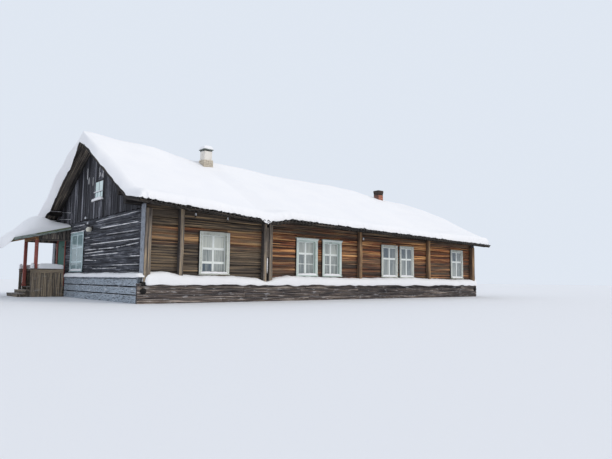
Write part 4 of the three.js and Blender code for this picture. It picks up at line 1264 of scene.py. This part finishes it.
# %% Windows
def add_frame(casing, sash, packing, box, shape, place):
    """Casing with its raised edges, sill, dark strips of painted shade at its sides, and lining; gives the
    box left for the sashes.
    """
    x_low, x_high, z_low, z_high = box
    front, back, wide = shape.face - shape.thick, shape.face - SEAM, shape.casing
    for (low, high), shade_strip_x in zip(rims(x_low, x_high, wide), (x_low - 0.014, x_high + 0.006)):
        casing.board((low, high), (front, back), (z_low, z_high - wide), axis=Z, bevel=0.004)
        for edge in narrowed(low, high, 0.012):
            sash.board(about(edge, 0.009), (front - 0.006, front + 0.004), (z_low + 0.05, z_high - 0.02),
                       axis=Z, bevel=0.003)
        # A dark strip at each side of the casing: painted shade along its edges.
        packing.board((shade_strip_x - 0.012, shade_strip_x + 0.008), (front + 0.008, back), (z_low, z_high), axis=Z,
                      at=place, bevel=0.002)
    for spans in (
            ((x_low, x_high), (front - 0.004, back), (z_high - wide, z_high)),
            (narrowed(x_low, x_high, wide), (front - 0.004, back), (z_low, z_low + shape.foot)),
            (narrowed(x_low, x_high, -0.01), (front - 0.03, back), about(z_low, 0.022))):
        casing.board(*spans, bevel=0.004)
    if shape.cornice:
        casing.board(narrowed(x_low, x_high, -0.04), (front - 0.045, back),
                     (z_high, z_high + shape.cornice))
        sash.board(narrowed(x_low, x_high, -0.02), (front - 0.02, front), (z_high - 0.05, z_high - 0.001))
    left, right, bottom, top = hole(box, shape.lap + 0.001, shape.foot - 0.014)
    depth, lining = (shape.face - 0.001, shape.face + shape.depth), shape.lining
    for ends in rims(left, right, lining):
        casing.board(ends, depth, (bottom, top), axis=Z, bevel=0.003)
    for ends in ((bottom, bottom + 0.014), (top - lining, top)):
        casing.board(narrowed(left, right, lining), depth, ends, bevel=0.003)
    return *narrowed(left, right, lining), bottom + 0.014, top - lining


def add_sashes(sash, glass, opening, style, shape):
    """Sashes row by row, each with its rails, bars and glass."""
    left, right, bottom, high = opening
    rows, tones = STYLES[style][0], iter(STYLES[style][1])
    front, rail, tall = shape.face + shape.inset, shape.rail, high - bottom
    depth = (front, front + shape.deep)
    inner, pane = (about(sum(depth) / 2, half) for half in (shape.deep * 0.35, 0.003))
    for share, across, stacked in rows:
        low, wide = high - share * tall, (right - left) / across
        for x in (left + column * wide for column in range(across)):
            for ends in rims(x, x + wide, rail):
                sash.board(ends, depth, (low, high), axis=Z, bevel=0.003)
            for ends in rims(low, high, rail):
                sash.board(narrowed(x, x + wide, rail), depth, ends, bevel=0.003)
            for level in range(1, stacked):
                bar = about(low + (high - low) * level / stacked, shape.bar / 2)
                sash.board(narrowed(x, x + wide, rail), inner, bar, bevel=0.003)
            tone = next(tones) + glass.pick(-0.08, 0.08)
            glass.board(narrowed(x, x + wide, 0.012), pane, narrowed(low, high, 0.012), tone=tone,
                        bevel=0.001)
        high = low


def make_windows():
    """All windows, each with its frame, its sashes and its glass as three pieces."""
    packing, drifts = pieces(71, 2)
    plain, low, crowned = Shape(), Shape(foot=0.025, inset=0.08), Shape(cornice=0.03, inset=0.08)
    flat = Shape(casing=0.085, thick=0.025, lining=0.02, deep=0.014, rail=0.036)
    attic = Shape(casing=0.03, foot=0.027, thick=0.014, lining=0.01, lap=0.012, rail=0.024, bar=0.02,
                  deep=0.008, face=-0.02, depth=0.08)
    fronts = [("plain", low, "pale")] + [("tall", crowned, "mint")] * 2 + [("vented", plain, "pale")] * 3
    backs = [(style, plain, "pale") for style in ("plain", "tall", "vented")]
    jobs = [(f"front_window_{i}", FRONT, *row) for i, row in enumerate(zip(FRONT_WINDOWS, fronts), 1)]
    jobs += [(f"back_window_{i}", BACK, *row) for i, row in enumerate(zip(BACK_WINDOWS, backs), 1)]
    jobs += [("gable_window", GABLE, GABLE_WINDOW, ("gable", flat, "blue")),
             ("far_gable_window", FAR, FAR_WINDOW, ("gable", flat, "blue")),
             ("attic_window", GABLE, ATTIC_WINDOW, ("attic", attic, "dark"))]
    for seed, (name, place, box, (style, shape, colors)) in enumerate(jobs, 73):
        casing, sash, glass = (Piece(seed, place) for _ in range(3))
        add_sashes(sash, glass, add_frame(casing, sash, packing, box, shape, place), style, shape)
        slot, *looks = WINDOW_COLORS[colors]
        for piece, part, look in zip((casing, sash, glass), ("frame", "sash", "glass"), looks):
            nodes = [name] if piece is casing else []
            piece.finish(f"{name}_{part}", look, *nodes, slot=slot)
        left, right, sill = box[:3]
        sill_snow = snow_bank(*narrowed(left, right, 0.06), sill + 0.0225, ((0, sill + 0.09),), 0.075,
                              drifts.pick(0, 99), 0.9)
        drifts.add(sill_snow, at=place @ shift(0, shape.face + 0.001))
    # The dark strips beside the casings are painted shade.
    packing.finish("window_packing", "dark wood")
    left, right, sill = ATTIC_WINDOW[:3]
    head = GABLE_WINDOW[3]
    for ends, z, tall, wide, out in (
            ((left - 0.02, right + 0.2), sill - 0.02, 0.12, 0.09, 0.02),
            ((left, right + 0.06), sill + 0.31, 0.035, 0.05, 0.02),
            (narrowed(*GABLE_WINDOW[:2], -0.02), head, 0.04, 0.04, 0.0)):
        drifts.add(snow_bank(*ends, z, ((0, z + tall),), wide, z, 0.9), at=GABLE @ shift(0, -out))
    drifts.finish("window_snow", "snow", smooth=60)


make_windows()

# %% [markdown]
# The chimneys are laid brick by brick: four bricks turned round a flue make one course, and the
# next course turns the other way. A brick pattern on a box is quicker, but its corners give it away,
# since real bricks turn the corner. The near chimney is plastered above its brick base.

# %% Chimneys
NEAR_STACK, FAR_STACK = (4.54, 4.2), (15.72, 4.2)
BRICK_TALL, BRICK_JOINT = 0.071, 0.008
NEAR_FOOT, NEAR_SHAFT, NEAR_HEAD = 5.18, 5.9, 6.29
FAR_FOOT, FAR_RINGS = 4.9, ((0.37, 5.61, 5.68), (0.39, 5.68, 5.76), (0.41, 5.76, 5.88))


def lay_bricks(piece, place, side, z_low, z_high, mortar):
    """Courses of four bricks each round a core of mortar, between two heights."""
    courses = max(1, round((z_high - z_low) / BRICK_TALL))
    tall, thick = (z_high - z_low) / courses, side * 0.31
    long = side - thick - BRICK_JOINT
    for course in range(courses):
        flip = Matrix.Scale(-1 if course % 2 else 1, 4, Vector((1, 0, 0)))
        for quarter in range(4):
            turn = Matrix.Rotation(quarter * math.pi / 2, 4, "Z") @ flip
            middle = shift(-side / 2 + long / 2 + piece.pick(-0.002, 0.002),
                           -side / 2 + thick / 2 + piece.pick(-0.003, 0.002))
            piece.add(stick(long, thick, tall - 0.009, 0.004), (0.28, 0.72),
                      shift(*place, z_low + (course + 0.5) * tall) @ turn @ middle)
    add_block(mortar, place, side / 2 - BRICK_JOINT, z_low, z_high - 0.004, bevel=0.003)


def add_block(piece, place, half, z_low, z_high, **shape):
    """Add a square block about an upright axis."""
    piece.board(*(about(c, half) for c in place), (z_low, z_high), tone=0.45, **shape)


def make_chimneys():
    """Both chimneys, the near one's cap and its snow."""
    x, y = NEAR_STACK
    base, mortar, shaft, cap, heap, stack, top = pieces(101, 7)
    lay_bricks(base, NEAR_STACK, 0.45, NEAR_FOOT, NEAR_SHAFT, mortar)
    base.finish("near_chimney_base", "base brick")
    add_block(shaft, NEAR_STACK, 0.19, NEAR_SHAFT, NEAR_HEAD, axis=Z, bevel=0.012, cuts=6, sway=0.008)
    add_block(shaft, NEAR_STACK, 0.21, NEAR_SHAFT - 0.015, NEAR_SHAFT + 0.04, bevel=0.01)
    add_block(shaft, NEAR_STACK, 0.225, SIDE_TOP, NEAR_FOOT + 0.01, bevel=0.004)
    shaft.finish("near_chimney_shaft", "plaster", "near_chimney_stack")
    add_block(cap, NEAR_STACK, 0.235, 6.345, 6.38)
    for corner in ((x + dx, y + dy) for dx in (-0.17, 0.17) for dy in (-0.17, 0.17)):
        add_block(cap, corner, 0.02, 6.285, 6.35, bevel=0.003)
    cap.finish("near_chimney_hood", "tin", "near_chimney_cap")

    def heap_place(a, b, c):
        """Where a point of the heap lies: a ball pressed flat and nearly square."""
        flat = 0.22 / max(0.72, max(abs(a), abs(b), 1e-6) / max(1e-6, math.hypot(a, b)))
        lump = 1 + 0.08 * waver(a * 1.7, b * 1.7, c * 1.7)
        return x + a * flat * lump, y + b * flat * lump, 6.383 + max(0.0, c + 0.22) * 0.155 * lump

    heap.add(ball(24, 14, heap_place))
    heap.finish("near_chimney_heap", "snow", "near_chimney_snow", smooth=60)
    lay_bricks(stack, FAR_STACK, 0.37, FAR_FOOT, FAR_RINGS[0][1], mortar)
    for ring in FAR_RINGS:
        lay_bricks(top, FAR_STACK, *ring, mortar)
    add_block(stack, FAR_STACK, 0.18, SIDE_TOP, FAR_FOOT + 0.01, bevel=0.004)
    stack.finish("far_chimney_shaft", "brick", "far_chimney_stack")
    top.finish("far_chimney_top", "soot brick")
    mortar.finish("chimney_mortar", "mortar")


make_chimneys()

# %% [markdown]
# The porch is a lean-to: boarded sides with a rail, two posts, a header, rafters, a boarded roof,
# green edge boards and a high drift of snow.

# %% Porch sizes
PORCH_NEAR, PORCH_FAR, PORCH_OUT, PORCH_SLAB = 7.2, 9.25, 2.09, 0.05
BOARD_NEAR, BOARD_FAR = INSIDE = 7.3, 9.13
PORCH_MIDDLE = (BOARD_NEAR + BOARD_FAR) / 2
NEAR_FACE, FAR_FACE = BOARD_NEAR - 0.03, BOARD_FAR
POST_X, POST_SIDE = -1.315, 0.125
POST_BACK = POST_X + POST_SIDE
POST_SPAN = (POST_X, POST_BACK)
PARAPET_TOP, PARAPET_END, WALL_END = 1.13, -1.44, -LEDGE_OUT - 0.003
FLOOR_TOP, STEP = 0.4, 0.28
PORCH_FALL = 0.265
PORCH_SLOPE = math.atan(PORCH_FALL)


def porch_top(x):
    """Top of the porch roof's boards."""
    return 2.88 + PORCH_FALL * x


HEADER_TOP = porch_top(POST_X) - PORCH_SLAB - 0.1
POST_TOP = HEADER_TOP - 0.095
print("the porch posts end at", round(POST_TOP, 3))

# %% [markdown]
# The timber follows the order of building: sides, floor and steps, posts and header, rafters and roof,
# and last the boards that close the triangles beside the roof. Heights come from the roof's slope, so
# that all of them would follow if it changed.

# %% Porch timber
def add_sloping(piece, y, z_down, long, wide, thick, x=-PORCH_OUT / 2, tone=(0.3, 0.7)):
    """Add a board that runs down the slope of the porch roof."""
    place = shift(x, y, porch_top(x) - z_down) @ Matrix.Rotation(-PORCH_SLOPE, 4, "Y")
    part = stick(long / math.cos(PORCH_SLOPE), wide, thick, 0.004, 5, 0.003, piece.chance)
    piece.add(part, tone, place)


def make_porch_side(name, y, inner, seed):
    """Upright boards with a rail on top, a board under it outside and two battens inside."""
    piece = Piece(seed)
    for low, high in piece.lengths(PARAPET_END, WALL_END, 0.105, 0.15):
        piece.board(narrowed(low, high), (y + piece.pick(0, 0.004), y + 0.026),
                    (0.0, PARAPET_TOP - piece.pick(0.045, 0.055)),
                    axis=Z, tone=(0.6, 0.95), cuts=3, sway=0.004)
    piece.board((PARAPET_END - 0.01, WALL_END), (y - 0.04, y + 0.07), (PARAPET_TOP - 0.04, PARAPET_TOP),
                cuts=6, sway=0.004)
    outer = (y - 0.022, y - 0.001) if inner[0] > y else (y + 0.031, y + 0.052)
    piece.board((PARAPET_END, WALL_END), outer, (PARAPET_TOP - 0.17, PARAPET_TOP - 0.042), tone=0.9,
                cuts=6, sway=0.003)
    for z in (0.5, 0.95):
        for ends in ((PARAPET_END + 0.02, POST_X - 0.01), (POST_BACK + 0.01, -LEDGE_OUT - 0.02)):
            piece.board(ends, inner, (z, z + 0.08), tone=0.4)
    piece.finish(f"porch_{name}_side", "deck boards", f"porch_{name}_side_boards")


def make_porch_floor():
    """Floor boards on bearers, and two steps."""
    deck, steps = pieces(93, 2)
    for low, high in deck.lengths(POST_X, -0.004, 0.118, 0.118):
        deck.board(narrowed(low, high), narrowed(*INSIDE), (FLOOR_TOP - 0.035, FLOOR_TOP), axis=Y,
                   cuts=4, sway=0.003)
    for y in (BOARD_NEAR + 0.04, PORCH_MIDDLE, BOARD_FAR - 0.14):
        deck.board((POST_X, -0.004), (y, y + 0.1), (0.0, FLOOR_TOP - 0.037))
    deck.finish("porch_deck", "deck boards", "porch_floor")
    for i in range(2):
        high, back = FLOOR_TOP * (2 - i) / 3, POST_X - 0.003 - i * STEP
        front, under = back - STEP, (0.0, high - 0.042)
        for low in (front, back - STEP / 2):
            steps.board(narrowed(low, low + STEP / 2), narrowed(*INSIDE, 0.004), (high - 0.04, high),
                        axis=Y, cuts=3, sway=0.003)
        for y in (BOARD_NEAR + 0.05, PORCH_MIDDLE, BOARD_FAR - 0.12):
            steps.board((front + 0.03, back - 0.004), (y, y + 0.06), under, axis=Z)
        steps.board((front + 0.012, front + 0.03), narrowed(*INSIDE, 0.01), under, axis=Y)
    steps.finish("porch_step_boards", "deck boards", "porch_steps")


def make_porch_frame():
    """Two posts with their feet, the header and three rafters."""
    foot = FLOOR_TOP + 0.003
    for name, y, near, far in (("near", BOARD_NEAR, 0, 0.012), ("far", BOARD_FAR - POST_SIDE, -0.012, 0)):
        piece = Piece(95)
        piece.board(POST_SPAN, (y, y + POST_SIDE), (foot, POST_TOP), axis=Z,
                    bevel=0.018, cuts=5, sway=0.003)
        piece.board(narrowed(*POST_SPAN, -0.012), (y + near, y + POST_SIDE + far), (foot, FLOOR_TOP + 0.1),
                    axis=Z)
        piece.finish(f"porch_{name}_column", "red paint", f"porch_{name}_post")
    piece = Piece(96)
    piece.board(POST_SPAN, INSIDE, (POST_TOP + SEAM, HEADER_TOP), axis=Y, bevel=0.008, cuts=4, sway=0.003)
    for y in (BOARD_NEAR + 0.045, PORCH_MIDDLE, BOARD_FAR - 0.045):
        add_sloping(piece, y, PORCH_SLAB + 0.052, PORCH_OUT - 0.05, 0.09, 0.095,
                    -(PORCH_OUT - 0.045) / 2, (0.4, 0.8))
    piece.finish("porch_rafters", "beam wood", "porch_roof_frame")


def make_porch_roof():
    """Roof boards and the edge boards round them."""
    roof, edges, trim = pieces(97, 3)
    for low, high in roof.lengths(PORCH_NEAR, PORCH_FAR, 0.12, 0.17):
        add_sloping(roof, (low + high) / 2, 0.026, PORCH_OUT - 0.004, high - low - 0.005, 0.044)
    roof.finish("porch_roof_boards", "soffit wood", "porch_roof", slot="roof_sheet")
    reach = PORCH_OUT + 0.018
    for y, out in ((PORCH_NEAR - 0.013, -1), (PORCH_FAR + 0.013, 1)):
        for piece, down, wide, push, low, high in (
                (edges, 0.019, 0.05, 0.006, 0.0, 0.62), (trim, 0.019, 0.05, 0.006, 0.62, 1.0),
                (trim, 0.080, 0.068, 0.0, 0.0, 1.0)):
            middle = -reach * (low + high) / 2
            add_sloping(piece, y + out * push, down, reach * (high - low), 0.02, wide, middle, 0.5)
    low = porch_top(-PORCH_OUT) - 0.13
    edges.board((-PORCH_OUT - 0.024, -PORCH_OUT - 0.002), narrowed(PORCH_NEAR, PORCH_FAR, -0.02),
                (low, low + 0.138), axis=Y, cuts=4, sway=0.003)
    edges.finish("porch_edge_boards", "fascia paint", "porch_fascia")
    trim.finish("porch_edge_trim", "trim paint")


def make_porch_panel(name, face, out, seed):
    """Upright boards between the header and the roof, with a batten along their foot outside."""
    piece = Piece(seed)
    for low, high in piece.lengths(POST_BACK + 0.002, -0.004, 0.09, 0.13):
        piece.upright(*narrowed(low, high), POST_TOP - piece.pick(0.002, 0.014),
                      lambda x: porch_top(x) - PORCH_SLAB - 0.006, face + SEAM, (0.1, 0.8), 0.024)
    y = face + out * 0.004
    piece.board((POST_BACK + 0.01, -0.01), (y, y + 0.03), (POST_TOP - 0.01, POST_TOP + 0.05), tone=0.35,
                bevel=0.004)
    piece.finish(f"porch_{name}_boards", "soffit wood", f"porch_{name}_panel")


make_porch_side("near", NEAR_FACE, (BOARD_NEAR, BOARD_NEAR + 0.03), 91)
make_porch_side("far", FAR_FACE, (BOARD_FAR - 0.03, BOARD_FAR - 0.002), 92)
make_porch_floor()
make_porch_frame()
make_porch_roof()
make_porch_panel("near", NEAR_FACE, -1, 108)
make_porch_panel("far", FAR_FACE, 1, 109)

# %% [markdown]
# The drift on the porch is far deeper than its roof boards and hangs over their lower edge. It is
# draped as the roof's snow is, as a grid of two layers. The snow on a rail is short and swollen, so
# each length of it is a ball pressed into a loaf.

# %% Porch snow
DRIFT = (
    (-2.5, 0.02), (-2.42, 0.15), (-2.14, 0.22), (-1.95, 0.30), (-1.8, 0.42), (-1.58, 0.58), (-1.25, 0.73),
    (-0.95, 0.70), (-0.55, 0.41), (0.0, 0.16))
DRIFT_OUT, DRIFT_FALL = 2.5, 0.34


def drift_place(along, across, top):
    """Where a point of the drift on the porch roof lies."""
    x = -DRIFT_OUT + along * (DRIFT_OUT - 0.03)
    y = PORCH_NEAR - 0.02 + across * (PORCH_FAR - PORCH_NEAR + 0.04)
    past = limit((-PORCH_OUT - 0.03 - x) / (DRIFT_OUT - PORCH_OUT - 0.03))
    z = porch_top(x) + 0.012 - DRIFT_FALL * past ** 0.6 * (1 + 0.25 * waver(y * 2.3, 4.0))
    if top:
        deep = sum(between(DRIFT, x + step) for step in (-0.09, 0.0, 0.09)) / 3
        rim = min(y - PORCH_NEAR + 0.02, PORCH_FAR + 0.02 - y)
        side = 0.82 * (1 - (1 - limit(rim / 1.0)) ** 2) + 0.18 * rim_height(rim, 0.1)
        fall = DRIFT_FALL * past ** 0.6 * (1 - past) ** 0.5
        swell = 1 + 0.08 * waver(x * 2, y * 2)
        z += 0.008 + (deep + fall) * side * rim_height(x + DRIFT_OUT, 0.05) * swell
    return x + 0.04 * past * waver(y * 2.0, 7.0), y + past * 0.05 * waver(y * 3, z * 2, 2.0), z


def rail_snow(low, high, y):
    """A loaf of snow on a rail, between two ends."""
    def place(a, b, c):
        """Where a point of the loaf lies."""
        x = (low + high) / 2 + math.copysign(abs(a) ** 0.45, a) * (high - low) / 2
        rise = max(0.0, c) ** 0.5 * (0.2 + 0.05 * waver(a * 3, y, low))
        return x, y + math.copysign(abs(b) ** 0.7, b) * 0.08, PARAPET_TOP + 0.002 + rise
    return ball(32, 16, place)


def make_porch_snow():
    """The drift on the porch roof and the snow on its rails."""
    drift, rails = pieces(110, 2)
    drift.add(blanket(72, 60, drift_place))
    drift.finish("porch_drift", "snow", "porch_roof_snow", smooth=60)
    for face in (NEAR_FACE, FAR_FACE):
        for low, high in ((PARAPET_END - 0.01, POST_X - 0.004), (POST_BACK + 0.004, -LEDGE_OUT - 0.004)):
            rails.add(rail_snow(low, high, face + 0.015))
    rails.finish("porch_rail_snow", "snow", "porch_near_rail_snow", smooth=60)


make_porch_snow()

# %% [markdown]
# The door is the one thing that moves: upright boards on cross battens, hung in a red frame. What
# swings with it is kept in pieces of its own, the leaf, the straps and the handle, and what stays on
# the wall in others, so that the hinges part where real ones do.

# %% Door
AXIS_X, AXIS_Y = -0.012, 7.977
LEAF_OUT, LEAF_IN = 0.010, 0.060
FIXED_KNUCKLES, MOVING_KNUCKLES = (0.80, 2.0), (0.8603, 2.0603)
STRAP_LOW, STRAP_HIGH = 0.012, 0.047
HANDLE_X, HANDLE_Y = -0.026, 8.839


def add_knuckle(piece, z, tall):
    """Add the round part of a hinge."""
    part = rod(0.011, tall, shift(AXIS_X, AXIS_Y, z + tall / 2), 14)
    bmesh.ops.bevel(part, geom=[e for e in part.edges if e.calc_length() < 0.02], offset=0.0015,
                    segments=1, profile=0.5, affect="EDGES", material=-1)
    piece.add(part)


def make_leaf():
    """Boards on three cross battens, with the moving half of the hinges and the handle."""
    leaf, fittings = pieces(112, 2)
    low, high, bottom, top = DOOR
    for ends in leaf.lengths(low, high, 0.134, 0.136):
        leaf.board((LEAF_OUT, LEAF_OUT + 0.03), narrowed(*ends, 0.0015), (bottom, top), axis=Z,
                   tone=(0.4, 0.6), cuts=2)
    for z in (bottom + 0.22, (bottom + top) / 2 - 0.05, top - 0.32):
        leaf.board((LEAF_OUT + 0.0305, LEAF_IN), narrowed(low, high, 0.015), (z, z + 0.11), axis=Y)
    leaf.finish("door_boards", "green paint", "door_leaf", body="door")
    for z in MOVING_KNUCKLES:
        add_knuckle(fittings, z, 0.059)
        strap = (z + STRAP_LOW, z + STRAP_HIGH)
        fittings.board((0.0045, 0.0095), (AXIS_Y + 0.006, low + 0.42), strap, axis=Y, bevel=0.001)
        fittings.board((AXIS_X, 0.0095), (AXIS_Y + 0.006, AXIS_Y + 0.012), strap, axis=Z, bevel=0.001)
    for z in (1.36, 1.51):
        fittings.add(rod(0.008, 0.04, shift(-0.009, HANDLE_Y, z) @ ALONG_X, 10))
    fittings.add(rod(0.009, 0.18, shift(HANDLE_X, HANDLE_Y, 1.44)))
    fittings.finish("door_fittings", "iron", body="door")


def make_door_frame():
    """The frame with its stops and trim, and the fixed half of the hinges."""
    still, surround = pieces(114, 2)
    low, high, bottom, top = DOOR
    for z in FIXED_KNUCKLES:
        add_knuckle(still, z, 0.0595)
        still.board((AXIS_X, 0.001), (AXIS_Y - 0.04, AXIS_Y - 0.006), (z + STRAP_LOW, z + STRAP_HIGH),
                    axis=Y, bevel=0.001)
    still.finish("door_frame_hinges", "iron")
    left, right = width = narrowed(low, high, -0.0555)
    depth, stop_depth, tall = (0.002, WALL), (LEAF_IN + 0.008, WALL - 0.004), (0.34, top + 0.006)
    for jamb, stop in (((left, low - 0.006), (left, low + 0.012)),
                       ((high + 0.006, right), (high - 0.012, right))):
        surround.board(depth, jamb, tall, axis=Z)
        surround.board(stop_depth, stop, tall, axis=Z, bevel=0.004)
    surround.board(depth, width, (top + 0.006, top + 0.0555), axis=Y)
    surround.board(stop_depth, width, (top - 0.012, top + 0.05), axis=Y, bevel=0.004)
    surround.board(depth, width, (0.34, bottom - 0.006), axis=Y)
    for ends in ((low - 0.16, low - 0.05), (high + 0.02, high + 0.13)):
        surround.board((-0.026, -0.003), ends, (0.405, top + 0.13), axis=Z)
    surround.board((-0.034, -0.003), (low - 0.17, high + 0.14), (top + 0.03, top + 0.135), axis=Y)
    surround.finish("door_surround", "red paint", "door_frame")


make_leaf()
make_door_frame()

# %% [markdown]
# Small things on the walls are the lamp by the gable window and the china insulators. A turned shape
# could be spun from a profile. Here a ball is used, whose points a function moves, because the pear of
# the lamp is only a ball that narrows upwards and is cut flat below.

# %% Lamp and insulators
LAMP_OUT, LAMP_Y, LAMP_Z = 0.13, 4.66, 2.62
CUP_OUT = 0.109


def lamp_place(a, b, c):
    """Where a point of the pear-shaped shell lies."""
    wide = 0.11 * (1 - 0.45 * max(0.0, c) ** 1.5)
    return -LAMP_OUT + a * wide, LAMP_Y + b * wide, LAMP_Z - 0.012 + max(c, -0.82) * 0.115


def make_lamp():
    """A pear-shaped lamp on a short arm."""
    shell, holder = pieces(116, 2)
    shell.add(ball(28, 18, lamp_place))
    shell.finish("yard_lamp_shell", "enamel", "yard_lamp", smooth=60)
    holder.add(rod(0.062, 0.045, shift(-LAMP_OUT, LAMP_Y, LAMP_Z + 0.082), 20, 0.03))
    holder.board((-LAMP_OUT - 0.012, -0.012), about(LAMP_Y, 0.012), (LAMP_Z + 0.085, LAMP_Z + 0.105))
    holder.board((-0.024, -0.004), about(LAMP_Y, 0.05), (LAMP_Z + 0.02, LAMP_Z + 0.13), axis=Y)
    holder.finish("yard_lamp_holder", "iron")


def make_insulators():
    """Hooked iron pins with china cups on the front wall, on a post and on the gable."""
    hooks, cups = pieces(118, 2)
    for place in (shift(1.76, 0, 2.86), shift(3.01, 0, 2.81), shift(9.71, -POST_DEEP, 2.48),
                  GABLE @ shift(5.106, -0.02, 3.0), GABLE @ shift(4.826, -0.02, 2.78)):
        hooks.board(about(0, 0.01), (-0.11, -0.002), (-0.012, 0.008), axis=Y, at=place, bevel=0.004)
        hooks.board(about(0, 0.009), (-0.118, -0.1), (-0.01, 0.06), axis=Z, at=place, bevel=0.004)
        cups.add(rod(0.036, 0.05, shift(0, -CUP_OUT, 0.062), 18, 0.026), at=place)
        cups.add(ball(18, 10, lambda a, b, c: (a * 0.03, b * 0.03 - CUP_OUT, c * 0.03 + 0.098)), at=place)
    hooks.finish("insulator_hooks", "iron")
    cups.finish("insulator_cups", "china", smooth=40)


make_lamp()
make_insulators()

# %% [markdown]
# The floor and the ceiling deck keep their solids, as they hardly show, and get boards drawn on them:
# the joints come from a step that repeats along Object coordinates.

# %% Floor and ceiling
BOARDS_PER_METRE, GAP_COLOR = 7.0, rgb(20, 17, 15)

tree, shader, place = new_look("inside boards", "deck_boards", 0.85)
grain = place.noise(1.0, 22.0, 22.0, detail=5.0)
gap = (place.along(Y) * BOARDS_PER_METRE).then("Math", operation="FRACT").step(0.0, 0.05)
boards = grain.mix(rgb(104, 84, 62), rgb(150, 124, 92))
dress(tree, shader, gap.mix(GAP_COLOR, boards), grain + gap)
for node_name in ("floor", "ceiling_deck"):
    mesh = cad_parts[node_name].data
    mesh.materials.clear()
    mesh.materials.append(LOOKS["inside boards"][0])
print("floor and ceiling deck keep their solids")

# %% [markdown]
# A plain pale floor, a pale sky and one large soft sun from the front right show the house plainly. A
# picture of a real sky would light it too, but then its colours would depend on that picture.

# %% Floor, sky and light
GROUND_SIZE, GROUND_COLOR = 150.0, (0.80, 0.80, 0.82, 1.0)
SKY_COLOR, SKY_STRENGTH = (0.825, 0.89, 0.985, 1.0), 0.9
SUN_COLOR, SUN_STRENGTH, SUN_WIDE = (1.0, 0.94, 0.84), 1.03, math.radians(25)
SUN_AHEAD = Vector((-0.42, 0.72, -0.55))


def make_stage():
    """The ground that the house stands on, the sky colour and the sun."""
    ground = bmesh.new()
    bmesh.ops.create_grid(ground, x_segments=1, y_segments=1, size=GROUND_SIZE, matrix=shift(z=-SEAM))
    mesh = bpy.data.meshes.new("ground")
    ground.to_mesh(mesh)
    ground.free()
    shader = new_look("ground", "", 0.9)[1]
    shader["Base Color"].default_value = GROUND_COLOR
    mesh.materials.append(LOOKS["ground"][0])
    made = bpy.data.objects.new("ground", mesh)
    bpy.context.scene.collection.objects.link(made)
    world = bpy.data.worlds.new("sky")
    bpy.context.scene.world = world
    world.use_nodes = True
    sky = world.node_tree.nodes["Background"].inputs
    sky[0].default_value, sky[1].default_value = SKY_COLOR, SKY_STRENGTH
    sun = bpy.data.lights.new("sun", "SUN")
    sun.color, sun.energy, sun.angle = SUN_COLOR, SUN_STRENGTH, SUN_WIDE
    lamp = bpy.data.objects.new("sun", sun)
    lamp.rotation_euler = SUN_AHEAD.to_track_quat("-Z", "Y").to_euler()
    bpy.context.scene.collection.objects.link(lamp)
    bpy.context.scene.view_settings.view_transform = "Standard"


make_stage()
print("the sun shines towards", [round(c, 2) for c in SUN_AHEAD])

# %% [markdown]
